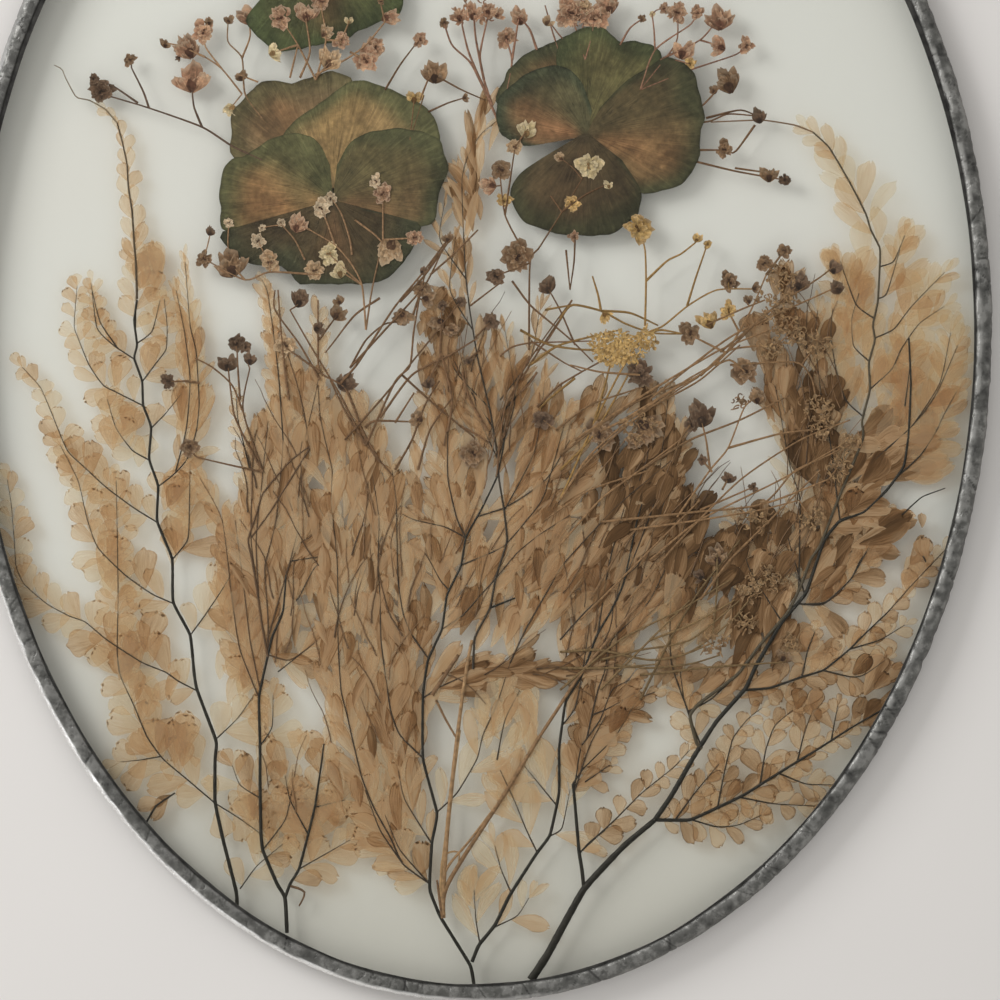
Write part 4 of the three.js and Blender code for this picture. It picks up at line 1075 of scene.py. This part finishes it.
# sprigs: stems in pixels with a width and a colour, blooms as x,y,radius,kind, umbels the same with a count
stemInks = {"brown": ink(114, 86, 62), "dark": ink(92, 73, 60), "tan": ink(150, 118, 88),
            "gold": ink(146, 114, 68), "pink": ink(140, 104, 84), "olive": ink(124, 101, 70),
            "fawn": ink(137, 106, 75)}
sprigs = {
    "sprig_upper_left": {
        "layer": 5, "stem": "dark", "width": 1.1,
        "stems": ["262,160 232,146 202,127 149,108 109,96", "202,127 194,107 192,89",
                  "149,108 143,91 131,67", "138,103 113,86 97,80"],
        "blooms": "101,91,12,dark 191,77,15,pink 94,79,5,dark 130,60,6,brown",
    },
    "sprig_top_left": {
        "layer": 4, "stem": "tan", "width": 1.0,
        "stems": ["262,118 245,94 242,58 228,42 228,22", "242,58 250,37 249,20",
                  "242,94 222,69 205,57 187,48", "205,57 180,46 166,43", "222,69 206,48 204,36",
                  "258,82 240,75", "204,32 209,21"],
        "blooms": "187,46,13,pink 204,32,11,pink 249,14,11,pink 240,75,6,brown 166,43,5,brown "
                  "209,21,4,brown 229,19,5,brown 178,59,3,dark 229,110,7,cream",
    },
    "sprig_top": {
        "layer": 8, "stem": "tan", "width": 1.1,
        "stems": ["316,80 298,45 285,25", "300,78 310,52 306,20", "316,80 326,40 321,5",
                  "315,75 345,60 366,45 385,22", "298,45 276,52", "350,52 366,60", "326,40 341,41",
                  "290,78 298,45", "316,78 330,62", "385,22 381,5", "340,45 349,22"],
        "blooms": "280,19,13,pink 306,11,11,pink 321,2,9,pink 327,32,7,tan 342,41,9,pink "
                  "277,52,8,cream 333,59,12,tan 366,60,13,pink 376,48,10,pink 390,16,9,pink "
                  "381,2,4,brown 349,20,4,cream",
    },
    "sprig_mid_top": {
        "layer": 5, "stem": "brown", "width": 1.0,
        "stems": ["385,90 400,65 415,45", "420,100 428,80 434,74", "428,112 448,103 464,98",
                  "410,140 424,95", "440,78 462,90 485,100", "410,140 414,100"],
        "blooms": "420,40,7,pink 435,72,11,brown 466,97,4,brown 414,96,8,gold",
    },
    "sprig_right_top": {
        "layer": 5, "stem": "pink", "width": 1.0,
        "stems": ["640,90 655,50 690,25 697,13", "640,90 675,45 678,20", "660,60 700,40 719,18",
                  "640,90 690,70 735,55 746,46", "700,40 717,45", "655,50 654,30 652,14",
                  "620,45 630,28 642,19", "675,60 690,64", "660,60 683,48"],
        "blooms": "677,13,10,pink 697,13,7,pink 719,18,12,pink 683,48,11,pink 717,45,9,pink "
                  "746,46,9,pink 690,64,7,gold 642,19,4,brown 652,14,3,cream 664,9,6,pink",
    },
    "sprig_right": {
        "layer": 4, "stem": "brown", "width": 1.1,
        "stems": ["660,122 706,122 728,114 757,116", "755,125 735,152 724,150",
                  "690,160 735,171 785,180", "680,121 703,105 726,80", "698,150 724,150",
                  "706,118 740,110 757,116", "735,168 770,173"],
        "blooms": "757,116,8,dark 724,150,9,brown 770,173,9,brown 785,180,6,dark 726,80,14,brown "
                  "712,90,5,brown",
    },
    "umbel_top": {
        "layer": 3, "stem": "pink", "width": 1.3,
        "stems": ["500,125 482,85 470,62 452,45 444,23", "490,100 478,75 468,50 462,25",
                  "492,105 484,80 480,55 487,20", "500,125 508,85 512,60 506,38", "512,60 519,16",
                  "537,50 530,30 519,16", "484,80 476,40 474,18"],
        "blooms": "458,14,8,pink 474,11,9,pink 490,9,8,pink 519,16,9,pink 506,38,10,pink "
                  "444,23,5,brown 500,14,6,pink",
        "umbels": "475,12,20,pink,26",
    },
    "sprig_crown": {
        "layer": 4, "stem": "pink", "width": 1.0,
        "stems": ["585,60 578,35 570,13", "585,60 592,35 595,17 608,4", "585,60 562,38 548,20",
                  "580,45 584,20", "560,55 552,30 545,5"],
        "blooms": "570,13,15,pink 595,17,14,pink 608,4,10,pink 548,20,6,tan 584,8,9,tan",
        "umbels": "583,14,17,pink,18",
    },
    "sprig_on_pansy": {
        "layer": 9, "stem": "tan", "width": 1.0,
        "stems": ["366,330 362,285 350,262 335,245 310,230", "310,230 297,223",
                  "352,255 350,240 342,215 333,200", "383,240 383,200", "355,220 375,235 389,250",
                  "305,260 295,240 282,225", "366,330 372,290 383,240",
                  "320,275 270,272 245,280 204,259", "245,280 230,263", "270,272 270,262",
                  "383,240 415,238", "335,245 328,225 321,208", "362,285 339,270", "362,285 329,254"],
        "blooms": "204,259,8,brown 230,263,14,brown 270,262,11,tan 211,231,5,dark 229,223,5,ringed "
                  "258,241,7,ringed 262,228,4,ringed 281,223,4,ringed 297,223,9,pink 321,208,8,ringed "
                  "331,199,6,ringed 329,254,10,cream 315,271,10,tan 339,270,8,cream 376,181,7,ringed "
                  "383,194,10,pink 389,252,14,tan 415,238,9,pink",
    },
    "sprig_between": {
        "layer": 8, "stem": "brown", "width": 1.0,
        "stems": ["497,474 500,440 505,408 518,381 530,355", "503,438 518,381 536,350 557,320 569,304",
                  "521,380 538,352 569,306", "531,341 563,362 583,372",
                  "500,356 512,347 530,343 560,342 593,341", "537,407 557,387 578,374 605,359 632,342",
                  "470,306 487,293 503,281", "529,350 530,263 539,248 562,212 582,179",
                  "530,263 520,245 505,215 500,175", "530,263 496,276", "562,212 572,203",
                  "562,212 550,195", "575,345 560,310 546,285", "572,300 548,340 535,352",
                  "562,212 585,195 608,184", "505,215 515,147", "515,147 528,129",
                  "575,237 574,262 570,290", "566,250 570,290"],
        "blooms": "589,166,12,cream 572,203,9,gold 528,129,9,cream 515,147,9,tan 500,170,12,brown "
                  "504,201,7,gold 517,257,14,brown 496,276,9,dark 546,285,9,dark 608,184,5,cream "
                  "559,157,5,tan 574,237,5,pink 488,185,8,pink",
    },
    "sprig_dark": {
        "layer": 5, "stem": "brown", "width": 1.1,
        "stems": ["263,472 243,435 234,414 230,385 228,365", "263,472 243,410 250,367",
                  "263,472 230,465 196,457", "240,400 238,370 237,350",
                  "243,412 232,385 212,367 195,358", "200,383 185,381 170,382"],
        "blooms": "237,344,8,dark 228,362,9,dark 250,358,7,dark 190,447,9,brown 168,381,8,dark "
                  "246,347,6,dark",
    },
    "sprig_centre_left": {
        "layer": 7, "stem": "brown", "width": 1.1,
        "stems": ["380,462 362,430 345,388 320,372 318,340 318,300", "347,390 355,410 368,445 392,475",
                  "350,368 366,340 385,324 402,322", "320,380 300,345 275,310 275,290",
                  "289,400 285,370 281,330 278,290", "319,340 338,314",
                  "380,298 355,315 333,343 325,353", "320,372 285,347", "380,462 350,420 330,380",
                  "365,445 340,395 310,345 290,310"],
        "blooms": "301,299,9,dark 338,312,8,brown 320,328,6,dark 285,345,12,tan 347,382,10,dark "
                  "402,318,8,brown 338,300,5,brown",
    },
    "sprig_centre": {
        "layer": 10, "stem": "brown", "width": 1.15,
        "stems": ["366,445 395,382 410,366 414,330 425,275 450,240", "380,418 412,375 450,355 478,338",
                  "395,423 414,393", "365,428 375,421 418,422", "413,315 421,290", "440,358 428,382",
                  "475,338 490,322", "440,358 442,306", "402,375 435,405 475,438",
                  "350,368 385,330 425,285 447,240", "345,440 385,395 430,340 461,301",
                  "400,302 425,275 450,240", "468,360 480,350",
                  "340,384 358,363 394,308 421,275 448,239", "430,275 454,254 478,230",
                  "460,426 474,433 488,442", "395,470 412,440 425,405 440,380",
                  "448,432 452,400 446,372 440,350", "418,470 430,430 452,398",
                  "537,372 530,383 520,393", "487,430 470,400 462,372",
                  "512,281 530,305 551,323 572,341 593,362"],
        "blooms": "447,237,6,brown 421,290,8,brown 424,271,4,dark 442,306,5,dark 461,301,5,dark "
                  "428,382,6,dark 490,322,8,dark 468,360,4,dark 416,418,7,brown 436,322,8,brown "
                  "405,318,8,brown 473,454,12,brown 452,330,7,brown 430,300,8,brown",
    },
    "umbel_gold": {
        "layer": 9, "stem": "gold", "width": 1.2, "slot": "gold",
        "stems": ["560,500 570,478 593,426 618,376 643,336 663,326 689,305 717,290 757,289",
                  "645,326 646,281 645,250 640,232", "646,281 667,261 681,254 695,243",
                  "687,306 696,277 706,248", "593,426 605,385 615,345",
                  "560,319 572,305 601,311 626,324 653,333 683,334", "601,311 630,313 659,326",
                  "643,336 660,330 683,334", "545,310 572,305", "618,376 632,350",
                  "560,470 590,440 620,390 640,352", "601,311 598,295 592,275",
                  "575,378 548,400 540,408", "520,330 550,345 590,350 640,345",
                  "530,365 560,345 620,330"],
        "blooms": "638,228,14,gold 698,238,5,gold 708,244,5,gold 729,282,11,brown 757,289,5,brown "
                  "606,318,6,gold",
        "umbels": "612,348,21,gold,170 626,352,16,gold,80 644,340,12,gold,50",
    },
    "sprig_bundle": {
        "layer": 10, "stem": "fawn", "width": 1.2,
        "stems": ["600,432 625,419 669,392 703,373 726,353 751,310 766,275",
                  "726,353 767,313 819,278 833,267", "650,399 695,363 739,332 837,287",
                  "766,275 784,251", "726,353 690,335", "739,332 728,311",
                  "730,365 790,362 803,366 812,380 816,400", "618,425 660,402 700,380 740,345",
                  "640,412 690,378 720,362", "580,470 610,440 650,408 700,376",
                  "706,325 740,310 765,300", "720,352 760,320 798,285", "745,372 730,360 715,366",
                  "560,500 590,455 640,410", "640,375 600,372 570,365", "700,376 730,350 775,345",
                  "560,455 600,425 640,400 690,380", "575,440 620,410 660,385 720,350 770,330",
                  "640,470 690,440 740,420 790,395", "556,430 590,405 640,388"],
        "blooms": "764,264,9,brown 784,251,7,brown 833,267,7,dark 837,287,7,dark 798,281,10,dark "
                  "728,311,10,gold 706,319,11,gold 690,333,11,brown 748,299,5,brown 640,375,12,dark "
                  "543,420,12,dark 600,435,15,brown 745,370,14,brown 650,430,14,brown 635,440,10,brown",
        "umbels": "778,305,20,fawn,50 782,276,14,fawn,26 790,332,20,fawn,50 815,345,14,fawn,30 "
                  "770,348,12,fawn,24 816,408,16,fawn,36 640,428,20,fawn,30",
    },
    "sprig_long": {
        "layer": 11, "stem": "fawn", "width": 1.1,
        "stems": ["600,522 650,517 695,512 762,504 793,472 820,459 858,441",
                  "677,517 710,470 728,448 744,408 757,396", "728,448 779,434 820,429",
                  "762,504 779,499 829,479", "700,510 735,495 753,487", "710,470 706,440 701,420",
                  "712,472 702,460", "722,490 729,477", "630,530 700,520 760,510 800,500",
                  "690,425 680,440 672,462", "560,545 600,500 640,470 680,440",
                  "590,600 620,550 660,500", "620,610 680,540 740,480 800,440 850,420",
                  "700,600 730,560 770,520 820,470", "580,620 640,560 700,500",
                  "650,560 700,520 780,480 850,440", "545,520 590,490 650,470"],
        "blooms": "701,414,13,dark 691,425,8,dark 702,460,5,dark 729,477,6,dark 753,487,5,dark "
                  "757,396,8,brown",
        "umbels": "822,426,14,fawn,30 850,445,12,fawn,24 837,468,13,fawn,28 755,519,14,fawn,30 "
                  "811,517,13,fawn,28 740,400,10,brown,12",
    },
    "sprig_low": {
        "layer": 7, "stem": "olive", "width": 1.2,
        "stems": ["560,652 600,650 650,660 690,652 730,622 745,605 766,579",
                  "615,665 650,668 690,664 720,655", "640,675 670,672 700,668 785,662",
                  "690,652 715,642", "650,640 690,625 735,600", "717,555 717,590 712,640",
                  "600,660 640,650 690,640 740,600", "560,668 610,668 660,664",
                  "600,690 650,640 690,600", "640,700 670,640 700,590 740,540",
                  "560,690 620,640 680,610 730,580"],
        "blooms": "717,555,10,brown 698,577,6,dark 785,655,7,brown",
        "umbels": "766,579,17,fawn,46 748,592,12,fawn,28 715,642,13,fawn,34 742,622,11,fawn,22 "
                  "790,640,9,fawn,16",
    },
}

# petals reach past their radius, because ragged ones fall a little short of it
sprigLook = {"petalReach": 1.18, "stemStep": 4, "stemSlack": 0.35, "stemSides": 6, "stemShade": (0.75, 1.2),
             "stemFoot": (0.95, 1.2), "stemTip": 0.65, "stemRise": 0.00006, "twigFrom": 0.4, "twigBow": 2,
             "twigStep": 3, "twigFoot": 0.7, "twigTip": 0.55, "turnSpread": 0.3}
for node, sprig in sprigs.items():
    heap = newHeap()
    height = layerHeight(sprig["layer"])
    colour = stemInks[sprig["stem"]]
    radius = sprig["width"] * pixel
    lines = []
    for path in sprig["stems"]:
        line = smoothLine(readPath(path), sprigLook["stemStep"] * pixel, sprigLook["stemSlack"])
        lines.append(line)
        shade = random.uniform(*sprigLook["stemShade"])
        first = radius * random.uniform(*sprigLook["stemFoot"])
        tinge = tuple(v * shade for v in colour)
        addTube(heap, line, first, radius * sprigLook["stemTip"], height, tinge, 0, sprigLook["stemSides"],
                height + spread(sprigLook["stemRise"]))
    heads = [head.split(",") for head in (sprig["blooms"] + " " + sprig.get("umbels", "")).split()]
    for x, y, size, kind, *count in heads:
        place = onPane(float(x), float(y))
        size = float(size) * pixel
        foot = nearestFoot(lines, place)
        if (foot - place).length > size * sprigLook["twigFrom"]:
            bow = (foot + place) / 2 + Vector((spread(1), spread(1))) * sprigLook["twigBow"] * pixel
            twig = smoothLine([foot, bow, place], sprigLook["twigStep"] * pixel)
            addTube(heap, twig, radius * sprigLook["twigFoot"], radius * sprigLook["twigTip"], height,
                    colour)
        if count:
            addUmbel(heap, place, size, height, kind, int(count[0]))
        else:
            grown = place - foot if (foot - place).length > 1e-6 else Vector((0, 1))
            way = math.atan2(grown.y, grown.x) + random.gauss(0, sprigLook["turnSpread"])
            addBloom(heap, place, size * sprigLook["petalReach"], height, kind, way)
    makePiece(heap, node + "_flowers", [node], sprig.get("slot", "bloom"), [dryFlower])
print("sprigs made:", len(sprigs))

# straw stems, bundled at the foot
straw = {
    "layer": 5, "step": 4, "rise": 0.00002, "sides": 8,
    "paths": [("443,918 443,895 447,833 457,739 466,672 472,640", 2.6, 1.6),
              ("443,918 445,891 463,858 504,795 535,744 557,710 582,672 615,632 650,590", 2.3, 1.3),
              ("443,918 441,880 452,790 460,730", 1.8, 1.0), ("432,695 459,654", 2.2, 1.5),
              ("441,900 446,870 470,840 500,800", 1.6, 0.9), ("436,700 446,720 457,739", 1.4, 1.0),
              ("441,872 443,858 450,852 459,853 458,866", 1.2, 0.8),
              ("443,918 440,900 437,880", 2.2, 1.0)],
    "inks": [ink(160, 127, 92), ink(138, 107, 77), ink(172, 139, 100), ink(122, 93, 67)],
}
heap = newHeap()
for i, (path, first, last) in enumerate(straw["paths"]):
    line = smoothLine(readPath(path), straw["step"] * pixel)
    height = layerHeight(straw["layer"]) + i * straw["rise"]
    colour = straw["inks"][i % len(straw["inks"])]
    addTube(heap, line, first * pixel, last * pixel, height, colour, 0, straw["sides"])
makePiece(heap, "straw_bundle", ["straw_stems"], "straw", [dryStraw])
print("straw made")


# pansy petals: each is a patch from the flower's heart to its outline, painted by place on the petal
def pansyFinish():
    finish, tree, out = newFinish("pansyPetal")
    angle, along, seed = split(tree, note(tree, "spot").outputs["Vector"])
    rays = join(tree, times(tree, angle, 12.0), times(tree, along, 1.4), seed)
    grain = speckle(tree, rays, 2.4, 4.0, 0.65)
    rays = join(tree, times(tree, angle, 6.0), times(tree, along, 0.7), seed)
    lines = speckle(tree, rays, 2.0, 1.0)
    mottle = speckle(tree, objectSpot(tree), 150.0, 6.0, 0.68)
    wrinkle = speckle(tree, objectSpot(tree), 620.0, 3.0, 0.6)
    vein = remap(tree, calc(tree, "ABSOLUTE", calc(tree, "SUBTRACT", lines, 0.5)), 0.0, 0.03, 1.0, 0.0)
    vein = times(tree, vein, remap(tree, along, 0.4, 0.75, -0.45, 0.3))  # dark inside, pale outside
    dim = times(tree, remap(tree, grain, 0.3, 0.7, 0.82, 1.2), remap(tree, mottle, 0.3, 0.7, 0.62, 1.45))
    dim = times(tree, dim, remap(tree, wrinkle, 0.3, 0.7, 0.86, 1.14))
    dim = times(tree, dim, plus(tree, 1.0, vein))
    # painted shade: a thin dark line along each petal's outline
    dim = times(tree, dim, remap(tree, along, 0.965, 1.0, 1.0, 0.6))
    colour = mixInk(tree, 1.0, note(tree, "ink").outputs["Color"], join(tree, dim, dim, dim), "MULTIPLY")
    relief = plus(tree, plus(tree, mottle, wrinkle), times(tree, vein, 0.6))
    tree.links.new(coat(tree, Base_Color=colour, Roughness=0.65, Specular_IOR_Level=0.25,
                        Normal=roughen(tree, relief, 0.4, 0.0006)), out.inputs["Surface"])
    return finish


pansyPetal = pansyFinish()
olive, moss, deep = ink(92, 83, 57), ink(84, 82, 54), ink(76, 65, 45)
rust, ochre, umber, bark = ink(146, 107, 71), ink(138, 113, 77), ink(113, 95, 69), ink(112, 85, 58)
# a petal: its heart and outline, then its body, edge and fan colours, where the fan points and how wide it is
pansies = {
    "pansy_left": [
        ("333,190 300,168 262,162 233,158 231,133 231,116 240,103 251,91 266,81 293,82 313,77 331,71 "
         "344,75 353,84 348,140", umber, olive, bark, 125, 26),
        ("333,190 300,160 280,150 290,125 320,103 353,81 382,86 407,96 427,110 440,131 436,146 "
         "400,150 370,160", ochre, moss, ink(150, 122, 80), 84, 24),
        ("333,198 330,165 318,142 296,133 268,140 245,156 233,158 223,171 219,193 221,214 222,230 "
         "246,231 280,222 310,210", moss, moss, rust, 186, 28),
        ("333,198 337,165 352,141 380,130 412,130 436,138 445,153 447,173 437,203 435,222 421,227 "
         "390,230 350,215", ink(86, 77, 51), ink(72, 71, 47), bark, 340, 30),
        ("333,200 318,206 300,211 283,219 266,225 246,229 226,230 221,238 230,251 251,264 283,267 "
         "298,283 321,284 356,284 382,281 406,259 421,227 400,218 360,210", ink(71, 59, 40),
         ink(58, 58, 40), ink(102, 77, 53), 272, 16),
    ],
    "pansy_right": [
        ("586,130 550,125 515,112 496,103 503,83 513,65 530,51 550,44 566,36 584,40 592,70 595,100",
         ink(92, 80, 54), ink(70, 70, 48), ink(112, 84, 56), 128, 22),
        ("586,130 566,95 556,62 562,40 586,27 601,27 613,35 621,41 636,41 652,46 662,58 650,85 625,112",
         ink(86, 82, 52), ink(68, 72, 46), ink(102, 93, 60), 66, 26),
        ("588,136 592,110 580,80 560,66 535,70 512,84 497,103 498,128 506,138 525,146 555,142",
         ink(80, 75, 52), ink(62, 65, 47), ink(128, 93, 64), 168, 26),
        ("586,134 600,108 625,82 648,68 667,56 686,65 697,80 701,99 705,116 700,136 700,154 692,172 "
         "681,184 661,191 639,193 612,172", ink(86, 74, 50), ink(64, 63, 42), ink(122, 91, 61), 338, 26),
        ("586,132 562,146 536,162 520,174 511,189 511,202 521,219 543,229 563,235 593,236 614,232 "
         "629,222 639,211 640,190 622,160", ink(72, 60, 41), ink(57, 55, 36), ink(85, 67, 46), 255, 26),
    ],
    "pansy_top": [
        ("325,-46 295,-58 270,-75 260,-92 262,-110 271,-125 285,-135 315,-140 330,-120 330,-85", umber,
         olive, bark, 125, 26),
        ("325,-46 322,-85 322,-120 340,-138 370,-135 385,-125 392,-110 390,-90 375,-68", ochre, moss,
         rust, 60, 24),
        ("325,-40 295,-25 270,-15 240,-20 230,-32 228,-50 235,-75 260,-90 300,-75", moss, moss, rust,
         186, 22),
        ("325,-40 350,-28 375,-20 405,-15 418,-30 420,-50 412,-75 385,-92 350,-80", moss, deep, bark,
         350, 22),
        ("325,-50 298,-30 268,-8 250,12 246,23 253,33 263,43 275,50 291,51 319,45 346,40 359,31 "
         "377,23 397,15 404,0 398,-15 365,-35", ink(78, 80, 50), ink(66, 72, 44), ink(100, 82, 54), 275,
         20),
    ],
}
petalLook = {"rows": 22, "columns": 64, "outlineStep": 0.0005, "heart": 0.02, "layer": 6, "step": 0.00004,
             "ripple": 0.00005, "ragged": 0.02, "mottleScale": 130, "mottle": 0.35, "dusk": 0.55}


def petalInk(along, off, where, body, edge, fan, fanWidth):
    fanShare = math.exp(-(off / fanWidth) ** 2) * ease(0.0, 0.2, along) * (1 - ease(0.72, 0.96, along))
    fanShare *= 0.75 + 0.6 * noise.noise(where * 1.2)
    edgeShare = ease(0.6, 0.98, along + 0.22 * noise.noise(where * 0.8))
    colour = blendInk(blendInk(body, edge, edgeShare), fan, clamp(fanShare))
    colour = blendInk(colour, deep, petalLook["dusk"] * (1 - ease(0.0, 0.16, along)))  # dark at the heart
    shade = 1 + petalLook["mottle"] * noise.noise(where * 0.5 + Vector((3, 8, 1)))
    return tuple(v * shade for v in colour)


def addPansyPetal(heap, order, outline, body, edge, fan, fanTurn, fanWidth):
    points = readPath(outline)
    heart = points[0]
    line = smoothLine(points[1:], petalLook["outlineStep"])
    columns = petalLook["columns"]
    picked = [line[round(i * (len(line) - 1) / columns)] for i in range(columns + 1)]
    seed = random.uniform(0, 50)
    rows = []
    for j in range(petalLook["rows"] + 1):
        along = petalLook["heart"] + (1 - petalLook["heart"]) * j / petalLook["rows"]
        row = []
        for spot in picked:
            arm = (spot - heart) * along
            angle = math.atan2(arm.y, arm.x)
            arm *= 1 + petalLook["ragged"] * along * noise.noise(Vector((angle * 9, seed, 0)))
            place = heart + arm
            where = Vector((place.x, place.y, seed)) * petalLook["mottleScale"]
            off = (math.degrees(angle) - fanTurn + 180) % 360 - 180
            z = layerHeight(petalLook["layer"]) + order * petalLook["step"]
            z += petalLook["ripple"] * noise.noise(where * 1.5) * along
            colour = petalInk(along, off, where, body, edge, fan, fanWidth)
            row.append(addPressed(heap, place.x, place.y, z, (angle, along, seed), colour))
        rows.append(row)
    addGrid(heap, rows, 0)


for node, petals in pansies.items():
    heap = newHeap()
    for order, petal in enumerate(petals):
        addPansyPetal(heap, order, *petal)
    makePiece(heap, node + "_petals", [node], "petal", [pansyPetal])
print("pansies made:", len(pansies))

# floor, light and camera
stageLook = {"floor": (0.80, 0.775, 0.75), "floorShade": (0.78, 0.755625, 0.73125), "floorSize": 4.0,
             "zenith": (0.1, 0.099, 0.097), "room": (0.66, 0.652, 0.638),
             "keyPlace": (-0.78, 0.52, 0.56), "keySize": 0.5, "keyPower": 6.6,
             "stripPlace": (-0.7, -0.5, 0.2), "stripSize": 0.3, "stripPower": 0.7}
bpy.ops.mesh.primitive_plane_add(size=stageLook["floorSize"])
floor = bpy.context.object
floor.name = "studioFloor"
floorFinish, tree, out = newFinish("paleFloor")
shade = speckle(tree, objectSpot(tree), 9.0, 2.0)
tint = mixInk(tree, remap(tree, shade, 0.3, 0.7), stageLook["floor"], stageLook["floorShade"])
tree.links.new(coat(tree, Base_Color=tint, Roughness=0.7), out.inputs["Surface"])
floor.data.materials.append(floorFinish)

scene = bpy.context.scene
world = bpy.data.worlds.new("softRoom")
world.use_nodes = True
tree = world.node_tree
up = split(tree, tree.nodes.new("ShaderNodeTexCoord").outputs["Generated"])[2]
sky = mixInk(tree, remap(tree, up, 0.95, 0.975), stageLook["room"], stageLook["zenith"])  # dim only overhead
tree.links.new(sky, tree.nodes["Background"].inputs["Color"])
scene.world = world
for name in ("key", "strip"):  # a soft window, and a low strip that catches the rim
    lampData = bpy.data.lights.new(name + "Light", "AREA")
    lampData.size = stageLook[name + "Size"]
    lampData.energy = stageLook[name + "Power"]
    lamp = bpy.data.objects.new(name + "Light", lampData)
    lamp.location = stageLook[name + "Place"]
    lamp.rotation_euler = (-Vector(stageLook[name + "Place"])).to_track_quat("-Z", "Y").to_euler()
    scene.collection.objects.link(lamp)

cameraLook = {"x": 500, "y": 500, "plane": 0.0034, "frameWidth": 0.2225, "lens": 135.0, "sensor": 36.0}
cameraData = bpy.data.cameras.new("sheetCamera")
cameraData.lens = cameraLook["lens"]
cameraData.sensor_width = cameraLook["sensor"]
camera = bpy.data.objects.new("sheetCamera", cameraData)
below = onPane(cameraLook["x"], cameraLook["y"])
away = cameraLook["frameWidth"] * cameraLook["lens"] / cameraLook["sensor"]
camera.location = (below.x, below.y, cameraLook["plane"] + away)
scene.collection.objects.link(camera)
scene.camera = camera
scene.view_settings.view_transform = "Standard"
scene.cycles.transparent_max_bounces = 32
scene.cycles.diffuse_bounces = 2
scene.cycles.glossy_bounces = 2
scene.cycles.max_bounces = 7

print("done")
